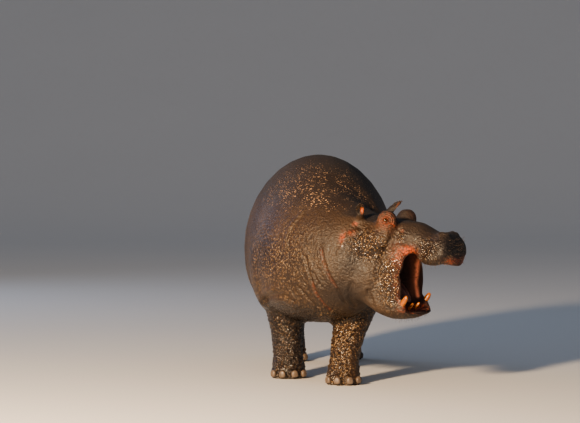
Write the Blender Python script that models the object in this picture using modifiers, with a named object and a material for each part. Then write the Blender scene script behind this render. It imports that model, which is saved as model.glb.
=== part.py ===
"""Young hippopotamus, standing with its mouth wide open and its head turned to its left.

Frame: metres, +Z up, +X towards the chest, +Y to the animal's left. The origin lies on the
floor, below the middle of the animal's bounding box. The body is modelled whole, as one mass of
flesh made of lofts and swellings, and then parted with thin cuts into the pieces that a person
would name. Eyes, teeth, tongue and toenails are solids of their own.
"""

import math
from typing import NamedTuple

import bmesh
import bpy
import numpy as np
from mathutils import Matrix, Vector

# ---- The plan line: a trunk bowed a little to the right, an arc to the left, a straight head ----
SWAY = 0.017
SWAY_MIDDLE = -0.05
SWAY_REACH = 0.60
BEND_START = 0.55
BEND_RADIUS = 0.43
HEAD_TURN = math.radians(62.0)
OCCIPUT = BEND_START + BEND_RADIUS * HEAD_TURN

# ---- Fineness of the solids ----
RING_POINTS = 32
STEPS_BETWEEN_SECTIONS = 4
TOOTH_STEPS = 4
TOOTH_SIDES = 8
MASS_VOXEL = 0.012
SOFTEN_FACTOR = 0.5
SOFTEN_PASSES = 4
FLESH_TRIANGLES = 4650
CUT_GAP = 0.0003
SHELL_GAP = 0.0012
FAR = 3.0

# ---- Head details, in the head's own frame: forward from the occiput, left, height ----
MOUTH_CORNER = Vector((0.330, 0.0, 0.728))
JAW_CUT_TILT = math.radians(-20.0)
EYE_RADIUS = 0.0205
EYE_PLACE = Vector((0.198, 0.1560, 0.922))
ORBIT_PLACE = Vector((0.190, 0.124, 0.920))
ORBIT_RADII = Vector((0.060, 0.053, 0.062))
EAR_ROOTS = {-1: Vector((0.040, 0.146, 0.945)), 1: Vector((0.063, 0.151, 0.953))}
EAR_LENGTH = 0.104
EAR_WIDTH = 0.068
EAR_THICKNESS = 0.034
EAR_LEANS = {-1: Vector((0.32, 0.66, 0.68)), 1: Vector((0.66, 0.41, 0.62))}
EAR_ROOT_RADII = Vector((0.022, 0.028, 0.034))
TONGUE_BACK = Vector((0.135, 0.0, 0.615))
TONGUE_FRONT = Vector((0.255, 0.0, 0.487))
TONGUE_RADII = Vector((0.105, 0.060, 0.026))

# ---- Where the flesh is parted ----
EAR_CUT_HEIGHT = 0.018
EAR_CUT_REACH = Vector((0.05, 0.06, 0.2))
NECK_CUT = 0.66
NECK_CUT_BELOW = 0.27
TAIL_CUT = -0.935
TAIL_CUT_HALF_WIDTH = 0.06
TAIL_CUT_BELOW = 0.4

# ---- Legs: the cut that parts them rises outwards from the belly's middle ----
LEG_CUT_HEIGHT = 0.278
LEG_CUT_SLOPE = 0.200
LEG_CUT_REACH = 0.23
LEG_CUT_DEPTH = 0.7
LEG_CUT_WIDTH = 0.6

# ---- Feet ----
TOE_ANGLES = (-52.0, -18.0, 18.0, 52.0)
TOE_RADII = Vector((0.044, 0.033, 0.046))
TOE_HEIGHT = 0.016
TOE_SPREAD = 0.78
OUTER_TOE_SIZE = 0.88
NAIL_RADII = Vector((0.012, 0.021, 0.022))
NAIL_INSET = 0.006
NAIL_RISE = 0.012

# ---- Colours: base colour, roughness ----
SKIN_FINISH = ((0.16, 0.11, 0.085), 0.45)
EYE_FINISH = ((0.05, 0.025, 0.015), 0.08)
IVORY_FINISH = ((0.72, 0.52, 0.30), 0.35)
TONGUE_FINISH = ((0.42, 0.18, 0.14), 0.40)
NAIL_FINISH = ((0.10, 0.08, 0.065), 0.50)


class Section(NamedTuple):
    """One upright cross-section of a body: where it lies, and how far it reaches."""

    along: float
    half_width: float
    top: float
    bottom: float
    widest: float
    round_top: float = 2.0
    round_bottom: float = 2.0


class Slice(NamedTuple):
    """One level cross-section of a body: its height, and how far it reaches."""

    height: float
    back: float
    front: float
    half_width: float
    squareness: float = 2.5


class Joint(NamedTuple):
    """One level cross-section of a limb: its middle, and its half sizes fore and aft and across."""

    forward: float
    side: float
    height: float
    half_length: float
    half_width: float


class Tooth(NamedTuple):
    """A tooth on the left side, in the head's frame: its ends, its thickness and its bow."""

    root: Vector
    tip: Vector
    radius: float
    bow: Vector


# From the rump to the throat, along the plan line.
TRUNK_SECTIONS = (
    Section(-0.930, 0.080, 0.925, 0.700, 0.810),
    Section(-0.900, 0.200, 1.010, 0.600, 0.790),
    Section(-0.820, 0.300, 1.110, 0.500, 0.770, 2.0, 2.3),
    Section(-0.680, 0.368, 1.190, 0.415, 0.740, 2.0, 2.4),
    Section(-0.480, 0.412, 1.240, 0.352, 0.725, 2.0, 2.5),
    Section(-0.220, 0.436, 1.262, 0.310, 0.720, 1.95, 2.45),
    Section(0.050, 0.438, 1.258, 0.298, 0.720, 1.95, 2.45),
    Section(0.300, 0.424, 1.230, 0.306, 0.715, 1.95, 2.45),
    Section(0.520, 0.394, 1.180, 0.322, 0.700, 1.95, 2.45),
    Section(0.660, 0.356, 1.125, 0.332, 0.690, 2.0, 2.5),
    Section(0.780, 0.318, 1.070, 0.350, 0.690, 2.0, 2.4),
    Section(0.900, 0.278, 1.020, 0.388, 0.700, 2.0, 2.2),
    Section(1.015, 0.240, 0.980, 0.450, 0.715),
    Section(1.100, 0.190, 0.940, 0.530, 0.740),
)

# The skull and upper jaw, forward from the occiput.
SKULL_SECTIONS = (
    Section(-0.160, 0.150, 0.930, 0.600, 0.760),
    Section(-0.060, 0.200, 0.965, 0.580, 0.770),
    Section(0.050, 0.196, 0.958, 0.580, 0.780),
    Section(0.140, 0.172, 0.935, 0.620, 0.790, 2.3, 2.3),
    Section(0.210, 0.148, 0.921, 0.690, 0.800, 2.4, 2.4),
    Section(0.270, 0.127, 0.911, 0.738, 0.810, 2.5, 2.6),
    Section(0.335, 0.117, 0.893, 0.738, 0.800, 2.5, 2.8),
    Section(0.392, 0.123, 0.869, 0.702, 0.770, 2.5, 2.8),
    Section(0.440, 0.136, 0.852, 0.688, 0.748, 2.5, 2.8),
    Section(0.490, 0.150, 0.858, 0.684, 0.744, 2.5, 2.8),
    Section(0.530, 0.150, 0.846, 0.680, 0.745, 2.4, 2.6),
    Section(0.550, 0.130, 0.822, 0.690, 0.750, 2.3, 2.4),
    Section(0.562, 0.090, 0.792, 0.714, 0.752),
)

# The lower jaw and cheeks, upwards from the chin, in the head's frame.
JAW_SLICES = (
    Slice(0.384, 0.180, 0.290, 0.085, 2.2),
    Slice(0.398, 0.140, 0.330, 0.124, 2.4),
    Slice(0.422, 0.090, 0.350, 0.150, 2.7),
    Slice(0.460, 0.040, 0.342, 0.161, 3.0),
    Slice(0.500, 0.000, 0.314, 0.163, 3.6),
    Slice(0.580, -0.030, 0.298, 0.161, 4.2),
    Slice(0.660, -0.050, 0.300, 0.154, 4.2),
    Slice(0.725, -0.050, 0.310, 0.141, 4.2),
    Slice(0.765, -0.050, 0.322, 0.129, 4.2),
    Slice(0.800, -0.040, 0.320, 0.110, 4.0),
)

# The hollow of the open mouth, upwards from the floor of the jaw, in the head's frame.
MOUTH_SLICES = (
    Slice(0.424, 0.300, 0.380, 0.085, 2.4),
    Slice(0.436, 0.270, 0.430, 0.114, 2.6),
    Slice(0.480, 0.234, 0.460, 0.132, 2.9),
    Slice(0.540, 0.190, 0.480, 0.134, 3.0),
    Slice(0.620, 0.140, 0.500, 0.128, 3.0),
    Slice(0.680, 0.108, 0.500, 0.112, 3.0),
    Slice(0.720, 0.112, 0.505, 0.096, 2.8),
    Slice(0.742, 0.170, 0.480, 0.066, 2.5),
)

# Swellings that stand out of the lofts: middle, half sizes, all in the head's frame; each is
# made on both sides.
HEAD_SWELLINGS = (
    (ORBIT_PLACE, ORBIT_RADII),
    (Vector((0.120, 0.128, 0.812)), Vector((0.125, 0.062, 0.075))),
    (Vector((0.040, 0.118, 0.650)), Vector((0.150, 0.094, 0.165))),
    (Vector((0.470, 0.100, 0.735)), Vector((0.082, 0.062, 0.058))),
    (Vector((0.490, 0.062, 0.821)), Vector((0.052, 0.044, 0.041))),
    (Vector((0.272, 0.118, 0.458)), Vector((0.055, 0.042, 0.052))),
)

# Swellings of the trunk: middle and half sizes in the trunk's frame, on both sides.
TRUNK_SWELLINGS = (
    (Vector((0.440, 0.275, 0.640)), Vector((0.230, 0.145, 0.275))),
    (Vector((-0.620, 0.225, 0.650)), Vector((0.255, 0.180, 0.330))),
)

# The tail, downwards from the rump, in the trunk's frame.
TAIL_JOINTS = (
    Joint(-0.900, 0.0, 0.960, 0.050, 0.055),
    Joint(-0.948, 0.0, 0.915, 0.048, 0.044),
    Joint(-0.982, 0.0, 0.830, 0.042, 0.032),
    Joint(-0.990, 0.0, 0.740, 0.038, 0.026),
    Joint(-0.987, 0.0, 0.650, 0.032, 0.021),
    Joint(-0.982, 0.0, 0.580, 0.024, 0.016),
)

TEETH = {
    "lower_tusk_": Tooth(
        Vector((0.262, 0.128, 0.437)),
        Vector((0.322, 0.143, 0.524)),
        0.0135,
        Vector((0.006, 0.0, -0.003)),
    ),
    "lower_incisor_inner_": Tooth(
        Vector((0.262, 0.036, 0.440)), Vector((0.322, 0.038, 0.470)), 0.0105, Vector()
    ),
    "lower_incisor_outer_": Tooth(
        Vector((0.252, 0.082, 0.440)), Vector((0.305, 0.086, 0.476)), 0.0085, Vector()
    ),
    "upper_canine_": Tooth(
        Vector((0.430, 0.088, 0.735)),
        Vector((0.424, 0.092, 0.672)),
        0.0120,
        Vector((0.004, 0.0, 0.0)),
    ),
    "upper_incisor_inner_": Tooth(
        Vector((0.478, 0.024, 0.740)), Vector((0.486, 0.024, 0.680)), 0.0085, Vector()
    ),
    "upper_incisor_outer_": Tooth(
        Vector((0.470, 0.056, 0.740)), Vector((0.474, 0.056, 0.684)), 0.0075, Vector()
    ),
}

# The legs, downwards from inside the trunk.
LEGS = {
    "leg_front_right": (
        Joint(0.460, -0.245, 0.620, 0.170, 0.115),
        Joint(0.425, -0.228, 0.440, 0.145, 0.108),
        Joint(0.405, -0.205, 0.260, 0.104, 0.094),
        Joint(0.415, -0.198, 0.130, 0.092, 0.088),
        Joint(0.425, -0.195, 0.050, 0.100, 0.100),
        Joint(0.430, -0.195, -0.020, 0.102, 0.102),
    ),
    "leg_front_left": (
        Joint(0.500, 0.250, 0.620, 0.175, 0.125),
        Joint(0.580, 0.200, 0.440, 0.150, 0.122),
        Joint(0.690, 0.140, 0.260, 0.108, 0.096),
        Joint(0.755, 0.116, 0.130, 0.092, 0.086),
        Joint(0.785, 0.109, 0.050, 0.100, 0.098),
        Joint(0.795, 0.108, -0.020, 0.102, 0.100),
    ),
    "leg_hind_right": (
        Joint(-0.560, -0.240, 0.620, 0.220, 0.140),
        Joint(-0.570, -0.225, 0.450, 0.170, 0.120),
        Joint(-0.625, -0.190, 0.280, 0.110, 0.092),
        Joint(-0.625, -0.178, 0.140, 0.088, 0.082),
        Joint(-0.600, -0.176, 0.050, 0.096, 0.092),
        Joint(-0.590, -0.176, -0.020, 0.098, 0.094),
    ),
    "leg_hind_left": (
        Joint(-0.600, 0.240, 0.620, 0.220, 0.140),
        Joint(-0.640, 0.220, 0.450, 0.170, 0.120),
        Joint(-0.720, 0.178, 0.280, 0.110, 0.092),
        Joint(-0.735, 0.166, 0.140, 0.088, 0.082),
        Joint(-0.715, 0.163, 0.050, 0.096, 0.092),
        Joint(-0.705, 0.163, -0.020, 0.098, 0.094),
    ),
}


# ---- Frames ----
def plan_frame(along):
    """The frame at a place on the plan line: X forward, Y to the left, Z up from the floor."""
    turn = min(max(along - BEND_START, 0.0) / BEND_RADIUS, HEAD_TURN)
    straight = min(along, BEND_START)
    beyond = max(along - OCCIPUT, 0.0)
    heading = Vector((math.cos(turn), math.sin(turn), 0.0))
    bow = max(1.0 - ((along - SWAY_MIDDLE) / SWAY_REACH) ** 2, 0.0) ** 2
    place = Vector((straight, -SWAY * bow, 0.0)) + heading * beyond
    place += BEND_RADIUS * Vector((math.sin(turn), 1.0 - math.cos(turn), 0.0))
    return Matrix.Translation(place) @ Matrix.Rotation(turn, 4, "Z")


HEAD = plan_frame(OCCIPUT)


def mirrored(place, side):
    """The place on the left side (+1) or the right side (-1)."""
    return Vector((place.x, side * place.y, place.z))


def aimed(place, direction):
    """A frame at a place, with its Z axis along a direction and its Y axis level."""
    direction = direction.normalized()
    across = Vector((0.0, 0.0, 1.0)).cross(direction)
    if across.length < 1e-6:
        across = Vector((0.0, 1.0, 0.0))
    across.normalize()
    front = across.cross(direction)
    turn = Matrix((front, across, direction)).transposed().to_4x4()
    return Matrix.Translation(place) @ turn


# ---- Mesh building ----
def smooth_rows(rows):
    """Rows read from a smooth curve through the given rows, the first and last included."""
    given = np.array(rows, float)
    slopes = np.gradient(given, axis=0)
    steps = np.linspace(0.0, 1.0, STEPS_BETWEEN_SECTIONS, endpoint=False)[:, None]
    found = []
    for i in range(len(given) - 1):
        blend = steps * steps * (3.0 - 2.0 * steps)
        leave = steps * (1.0 - steps) ** 2
        arrive = steps * steps * (steps - 1.0)
        run = given[i] * (1.0 - blend) + given[i + 1] * blend
        found.append(run + slopes[i] * leave + slopes[i + 1] * arrive)
    return np.vstack([*found, given[-1:]])


def round_corner(turn, power):
    """Cosine and sine of a turn, squared off or pinched by the power: 2 gives a circle."""
    c, s = math.cos(turn), math.sin(turn)
    return math.copysign(abs(c) ** (2.0 / power), c), math.copysign(abs(s) ** (2.0 / power), s)


def section_ring(section, frame):
    """Points round an upright section, in the frame's plane of Y and Z."""
    points = []
    for k in range(RING_POINTS):
        turn = 2.0 * math.pi * k / RING_POINTS
        power = section.round_top if math.sin(turn) >= 0 else section.round_bottom
        across, rise = round_corner(turn, power)
        reach = section.top - section.widest if rise >= 0 else section.widest - section.bottom
        height = section.widest + rise * reach
        points.append(frame @ Vector((0.0, across * section.half_width, height)))
    return points


def slice_ring(cut, frame):
    """Points round a level slice, in the frame's plane of X and Y."""
    middle = 0.5 * (cut.front + cut.back)
    half_length = 0.5 * (cut.front - cut.back)
    points = []
    for k in range(RING_POINTS):
        ahead, across = round_corner(2.0 * math.pi * k / RING_POINTS, cut.squareness)
        forward = middle + ahead * half_length
        points.append(frame @ Vector((forward, across * cut.half_width, cut.height)))
    return points


def joint_ring(joint):
    """Points round a level section of a limb."""
    points = []
    for k in range(RING_POINTS):
        turn = 2.0 * math.pi * k / RING_POINTS
        ahead = joint.forward + joint.half_length * math.cos(turn)
        across = joint.side + joint.half_width * math.sin(turn)
        points.append(Vector((ahead, across, joint.height)))
    return points


def add_loft(mesh, rings):
    """Adds a closed body through the rings, with flat ends."""
    loops = [[mesh.verts.new(point) for point in ring] for ring in rings]
    faces = [mesh.faces.new(loops[0]), mesh.faces.new(loops[-1])]
    for low, high in zip(loops, loops[1:]):
        for k in range(len(low)):
            after = (k + 1) % len(low)
            faces.append(mesh.faces.new((low[k], low[after], high[after], high[k])))
    bmesh.ops.recalc_face_normals(mesh, faces=faces)


def add_ellipsoid(mesh, frame, radii, segments=24):
    """Adds an ellipsoid of the given half sizes at the frame's place."""
    scale = Matrix.Diagonal((*radii, 1.0))
    bmesh.ops.create_uvsphere(
        mesh, u_segments=segments, v_segments=segments // 2, radius=1.0, matrix=frame @ scale
    )


def add_tapered_tube(mesh, points, radii, segments=16):
    """Adds a tube along the points, with the given radius at each and flat ends."""
    rings = []
    for i, (point, radius) in enumerate(zip(points, radii)):
        ahead = points[min(i + 1, len(points) - 1)] - points[max(i - 1, 0)]
        frame = aimed(point, ahead)
        ring = []
        for k in range(segments):
            turn = 2.0 * math.pi * k / segments
            ring.append(frame @ Vector((radius * math.cos(turn), radius * math.sin(turn), 0.0)))
        rings.append(ring)
    add_loft(mesh, rings)


def object_of(mesh, name, collection):
    """A new object that holds the built mesh."""
    data = bpy.data.meshes.new(name)
    mesh.to_mesh(data)
    mesh.free()
    made = bpy.data.objects.new(name, data)
    collection.objects.link(made)
    return made


def settled(thing, name, collection):
    """A plain mesh object with the shape that a modified object evaluates to."""
    bpy.context.view_layer.update()
    graph = bpy.context.evaluated_depsgraph_get()
    data = bpy.data.meshes.new_from_object(thing.evaluated_get(graph))
    data.name = name
    made = bpy.data.objects.new(name, data)
    collection.objects.link(made)
    return made


def cut_with(thing, cutter, operation, name, collection):
    """A new object: the thing after one Boolean with the cutter."""
    modifier = thing.modifiers.new("cut", "BOOLEAN")
    modifier.operation = operation
    modifier.object = cutter
    modifier.solver = "EXACT"
    made = settled(thing, name, collection)
    thing.modifiers.remove(modifier)
    return made


def helper(thing):
    """Marks a cutter or a guide, which isn't part of the animal."""
    thing.hide_render = True
    thing.display_type = "WIRE"
    return thing


def box_object(name, frame, low, high, collection):
    """A box between two corners, given in the frame."""
    mesh = bmesh.new()
    size = high - low
    place = frame @ Matrix.Translation(low + 0.5 * size) @ Matrix.Diagonal((*size, 1.0))
    bmesh.ops.create_cube(mesh, size=1.0, matrix=place)
    return helper(object_of(mesh, name, collection))


# ---- The flesh ----
def add_trunk(mesh):
    """The trunk and neck as one loft along the plan line, with shoulders and haunches."""
    rows = [Section(*row) for row in smooth_rows(TRUNK_SECTIONS)]
    add_loft(mesh, [section_ring(row, plan_frame(row.along)) for row in rows])
    for middle, radii in TRUNK_SWELLINGS:
        for side in (-1, 1):
            add_ellipsoid(mesh, Matrix.Translation(mirrored(middle, side)), radii, 32)


def add_head(mesh):
    """The skull with the upper jaw, and the lower jaw with the cheeks."""
    rows = [Section(*row) for row in smooth_rows(SKULL_SECTIONS)]
    rings = [section_ring(row, HEAD @ Matrix.Translation((row.along, 0, 0))) for row in rows]
    add_loft(mesh, rings)
    slices = [Slice(*row) for row in smooth_rows(JAW_SLICES)]
    add_loft(mesh, [slice_ring(cut, HEAD) for cut in slices])
    for middle, radii in HEAD_SWELLINGS:
        for side in (-1, 1):
            add_ellipsoid(mesh, HEAD @ Matrix.Translation(mirrored(middle, side)), radii)


def ear_frame(side):
    """The ear's frame: its root at the origin, Z towards its tip, X towards its hollow face."""
    lean = EAR_LEANS[side]
    lean = Vector((lean.x, side * lean.y, lean.z))
    facing = Vector((0.55, side * 0.75, 0.0))
    up = lean.normalized()
    front = (facing - up * facing.dot(up)).normalized()
    across = up.cross(front)
    turn = Matrix((front, across, up)).transposed().to_4x4()
    return HEAD @ Matrix.Translation(mirrored(EAR_ROOTS[side], side)) @ turn


def add_ears(mesh):
    """Two short rounded ears, each on a thicker root."""
    for side in (-1, 1):
        frame = ear_frame(side)
        radii = Vector((0.5 * EAR_THICKNESS, 0.5 * EAR_WIDTH, 0.56 * EAR_LENGTH))
        add_ellipsoid(mesh, frame @ Matrix.Translation((0, 0, 0.5 * EAR_LENGTH)), radii)
        add_ellipsoid(mesh, frame, EAR_ROOT_RADII)


def add_leg(mesh, joints):
    """One leg as a loft of level sections, with four toes spread round the front of its foot."""
    rows = [Joint(*row) for row in smooth_rows(joints)]
    add_loft(mesh, [joint_ring(row) for row in rows])
    foot = joints[-1]
    for angle in TOE_ANGLES:
        add_ellipsoid(mesh, toe_frame(foot, angle), toe_radii(angle))


def toe_frame(foot, angle):
    """A toe's frame: X outwards from the foot's middle."""
    turn = math.radians(angle)
    ahead = foot.forward + TOE_SPREAD * foot.half_length * math.cos(turn)
    across = foot.side + TOE_SPREAD * foot.half_width * math.sin(turn)
    return Matrix.Translation((ahead, across, TOE_HEIGHT)) @ Matrix.Rotation(turn, 4, "Z")


def toe_radii(angle):
    """Half sizes of a toe: the two middle toes are the largest."""
    return TOE_RADII * (1.0 if abs(angle) < 30.0 else OUTER_TOE_SIZE)


def add_tail(mesh):
    """A short tail, flattened from side to side, hanging behind the rump."""
    add_loft(mesh, [joint_ring(Joint(*row)) for row in smooth_rows(TAIL_JOINTS)])


def flesh_object(cutters):
    """The whole body as one closed surface, with the mouth hollowed out and flat soles."""
    mesh = bmesh.new()
    add_trunk(mesh)
    add_head(mesh)
    add_ears(mesh)
    add_tail(mesh)
    for joints in LEGS.values():
        add_leg(mesh, joints)
    mass = helper(object_of(mesh, "mass", cutters))

    hollow = bmesh.new()
    add_loft(hollow, [slice_ring(Slice(*row), HEAD) for row in smooth_rows(MOUTH_SLICES)])
    mouth = helper(object_of(hollow, "mouth_hollow", cutters))

    add_remesh(mass)
    carve = mass.modifiers.new("mouth", "BOOLEAN")
    carve.operation = "DIFFERENCE"
    carve.object = mouth
    carve.solver = "EXACT"
    add_remesh(mass)
    soften = mass.modifiers.new("soften", "SMOOTH")
    soften.factor = SOFTEN_FACTOR
    soften.iterations = SOFTEN_PASSES
    smooth = helper(settled(mass, "smooth_mass", cutters))

    thin_out(smooth)
    thinned = helper(settled(smooth, "thinned_mass", cutters))
    low, high = Vector((-FAR, -FAR, -FAR)), Vector((FAR, FAR, 0.0))
    floor = box_object("floor_cutter", Matrix(), low, high, cutters)
    return helper(cut_with(thinned, floor, "DIFFERENCE", "flesh", cutters))


def add_remesh(thing):
    """Turns overlapping bodies into one closed surface of even cells."""
    remesh = thing.modifiers.new("remesh", "REMESH")
    remesh.mode = "VOXEL"
    remesh.voxel_size = MASS_VOXEL
    remesh.use_smooth_shade = True


def thin_out(thing):
    """Merges faces where the surface is plain, until few are left."""
    thin = thing.modifiers.new("thin_out", "DECIMATE")
    thin.ratio = FLESH_TRIANGLES / (2.0 * len(thing.data.polygons))
    thin.use_collapse_triangulate = True


# ---- Parting the flesh ----
def part_regions():
    """The regions cut off the flesh, in their order: each is a frame and a box in it."""
    regions = {}
    for side, word in ((-1, "right"), (1, "left")):
        low = Vector((-EAR_CUT_REACH.x, -EAR_CUT_REACH.y, EAR_CUT_HEIGHT))
        regions["ear_" + word] = (ear_frame(side), low, EAR_CUT_REACH)
    regions["head"] = (HEAD, Vector((0.0, -0.4, 0.0)), Vector((FAR, 0.4, FAR)))
    low = Vector((0.0, -0.6, NECK_CUT_BELOW))
    regions["neck"] = (plan_frame(NECK_CUT), low, Vector((0.9, 0.6, FAR)))
    for name, joints in LEGS.items():
        side = math.copysign(1.0, joints[0].side)
        frame = Matrix.Translation((joints[3].forward, 0.0, LEG_CUT_HEIGHT))
        frame[2][1] = side * LEG_CUT_SLOPE
        low = Vector((-LEG_CUT_REACH, min(0.0, side * LEG_CUT_WIDTH), -LEG_CUT_DEPTH))
        high = Vector((LEG_CUT_REACH, max(0.0, side * LEG_CUT_WIDTH), 0.0))
        regions[name] = (frame, low, high)
    low = Vector((-FAR, -TAIL_CUT_HALF_WIDTH, TAIL_CUT_BELOW))
    high = Vector((TAIL_CUT, TAIL_CUT_HALF_WIDTH, FAR))
    regions["tail"] = (Matrix(), low, high)
    return regions


def cut_off(whole, name, region, parts, cutters):
    """The piece of the whole inside a region, and the rest of it, a thin gap away."""
    frame, low, high = region
    grow = Vector((CUT_GAP, CUT_GAP, CUT_GAP))
    inner = box_object(name + "_region", frame, low, high, cutters)
    outer = box_object(name + "_gap", frame, low - grow, high + grow, cutters)
    piece = cut_with(whole, inner, "INTERSECT", name, parts)
    return piece, helper(cut_with(whole, outer, "DIFFERENCE", "rest", cutters))


def part_flesh(flesh, parts, cutters):
    """Cuts the named pieces off the flesh one after another. What is left is the trunk."""
    made = {}
    rest = flesh
    for name, region in part_regions().items():
        made[name], rest = cut_off(rest, name, region, parts, cutters)
    made["trunk"] = settled(rest, "trunk", parts)

    whole_head = helper(settled(made.pop("head"), "whole_head", cutters))
    bpy.data.objects.remove(bpy.data.objects["head"])
    gape = HEAD @ Matrix.Translation(MOUTH_CORNER) @ Matrix.Rotation(JAW_CUT_TILT, 4, "Y")
    below = (gape, Vector((-0.8, -0.4, -0.8)), Vector((0.0, 0.4, 0.0)))
    made["lower_jaw"], rest = cut_off(whole_head, "lower_jaw", below, parts, cutters)
    made["head"] = settled(rest, "head", parts)
    return made


# ---- Eyes, teeth, tongue and nails ----
def socket_eyes(head, parts, cutters):
    """Two eyeballs, and the head with a socket cut for each."""
    made = []
    for side, word in ((-1, "right"), (1, "left")):
        frame = HEAD @ Matrix.Translation(mirrored(EYE_PLACE, side))
        ball = bmesh.new()
        add_ellipsoid(ball, frame, EYE_RADIUS * Vector((1, 1, 1)), 14)
        made.append(object_of(ball, "eye_" + word, parts))
        hole = bmesh.new()
        add_ellipsoid(hole, frame, (EYE_RADIUS + 1.5 * CUT_GAP) * Vector((1, 1, 1)), 14)
        socket = helper(object_of(hole, "socket_" + word, cutters))
        carve = head.modifiers.new("socket_" + word, "BOOLEAN")
        carve.operation = "DIFFERENCE"
        carve.object = socket
        carve.solver = "EXACT"
    return made


def clear_of(thing, flesh_shell):
    """Cuts away what a piece shares with the flesh, leaving a thin gap."""
    trim = thing.modifiers.new("clear_of_flesh", "BOOLEAN")
    trim.operation = "DIFFERENCE"
    trim.object = flesh_shell
    trim.solver = "EXACT"
    return thing


def tooth_object(name, shape, side, parts):
    """A tooth that tapers from its root to a blunt tip, bowed at its middle."""
    root, tip = mirrored(shape.root, side), mirrored(shape.tip, side)
    points, radii = [], []
    for i in range(TOOTH_STEPS + 1):
        t = i / TOOTH_STEPS
        bow = shape.bow * (4.0 * t * (1.0 - t))
        points.append(HEAD @ (root.lerp(tip, t) + bow))
        taper = 1.0 - 0.45 * t * t if i < TOOTH_STEPS else 0.25
        radii.append(shape.radius * taper)
    mesh = bmesh.new()
    add_tapered_tube(mesh, points, radii, TOOTH_SIDES)
    return object_of(mesh, name, parts)


def make_teeth(parts):
    """Lower tusks and incisors, and the upper canines and incisors, on both sides."""
    made = []
    for side, word in ((-1, "right"), (1, "left")):
        for name, shape in TEETH.items():
            made.append(tooth_object(name + word, shape, side, parts))
    return made


def make_tongue(parts):
    """The tongue, lying on the floor of the lower jaw."""
    mesh = bmesh.new()
    run = TONGUE_FRONT - TONGUE_BACK
    middle = TONGUE_BACK.lerp(TONGUE_FRONT, 0.5)
    lie = Matrix.Rotation(math.atan2(-run.z, run.x), 4, "Y")
    add_ellipsoid(mesh, HEAD @ Matrix.Translation(middle) @ lie, TONGUE_RADII, 12)
    return object_of(mesh, "tongue", parts)


def make_nails(parts):
    """One nail on the front of each toe."""
    made = []
    for name, joints in LEGS.items():
        foot = joints[-1]
        for number, angle in enumerate(TOE_ANGLES, 1):
            radii = toe_radii(angle)
            place = Vector((radii.x - NAIL_INSET, 0.0, NAIL_RISE))
            frame = toe_frame(foot, angle) @ Matrix.Translation(place)
            mesh = bmesh.new()
            add_ellipsoid(mesh, frame, NAIL_RADII, 8)
            made.append(object_of(mesh, name.replace("leg", "nail") + f"_{number}", parts))
    return made


# ---- Finish ----
def finish_as(thing, finish):
    """Gives the piece its own material and smooth shading."""
    colour, roughness = finish
    material = bpy.data.materials.new(thing.name)
    material.use_nodes = True
    shader = material.node_tree.nodes["Principled BSDF"]
    shader.inputs["Base Color"].default_value = (*colour, 1.0)
    shader.inputs["Roughness"].default_value = roughness
    thing.data.materials.clear()
    thing.data.materials.append(material)
    thing.data.shade_smooth()
    thing.data.set_sharp_from_angle(angle=math.radians(50.0))


def centre_on_floor(things):
    """Moves the whole animal so that the origin lies under the middle of its bounding box."""
    bpy.context.view_layer.update()
    corners = []
    for thing in things:
        corners += [thing.matrix_world @ Vector(corner) for corner in thing.bound_box]
    ahead = [corner.x for corner in corners]
    across = [corner.y for corner in corners]
    root = bpy.data.objects.new("hippopotamus", None)
    bpy.context.scene.collection.objects.link(root)
    for thing in things:
        thing.parent = root
    for thing in bpy.data.collections["cutters"].objects:
        thing.parent = root
    root.location = (-0.5 * (min(ahead) + max(ahead)), -0.5 * (min(across) + max(across)), 0.0)


def main():
    for thing in list(bpy.data.objects):
        bpy.data.objects.remove(thing)
    parts = bpy.data.collections.new("hippopotamus")
    cutters = bpy.data.collections.new("cutters")
    bpy.context.scene.collection.children.link(parts)
    bpy.context.scene.collection.children.link(cutters)

    flesh = flesh_object(cutters)
    pieces = part_flesh(flesh, parts, cutters)
    eyes = socket_eyes(pieces["head"], parts, cutters)

    shell = helper(settled(flesh, "flesh_shell", cutters))
    swell = shell.modifiers.new("gap", "DISPLACE")
    swell.strength = SHELL_GAP
    swell.mid_level = 0.0
    teeth = make_teeth(parts)
    tongue = make_tongue(parts)
    nails = make_nails(parts)
    for piece in [*teeth, tongue, *nails]:
        clear_of(piece, shell)

    for piece in pieces.values():
        finish_as(piece, SKIN_FINISH)
    for piece in eyes:
        finish_as(piece, EYE_FINISH)
    for piece in teeth:
        finish_as(piece, IVORY_FINISH)
    finish_as(tongue, TONGUE_FINISH)
    for piece in nails:
        finish_as(piece, NAIL_FINISH)
    centre_on_floor([*pieces.values(), *eyes, *teeth, tongue, *nails])


if __name__ == "__main__":
    main()
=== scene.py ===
"""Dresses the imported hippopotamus: a wet hide, eyes, teeth, tongue, toenails and bristles.

Everything is in metres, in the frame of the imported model: +X towards the chest, +Y to the
animal's left, +Z up, with the origin on the floor. The hide is one closed skin, grown from the
solids of flesh, smoothed, and then modelled with folds, lids, lips and wrinkles.
"""

import logging
import math
from collections.abc import Callable, Iterator
from contextlib import contextmanager
from dataclasses import dataclass, field
from enum import Enum
from typing import ClassVar

import bmesh
import bpy
import numpy as np
from mathutils import Matrix, Vector

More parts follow.
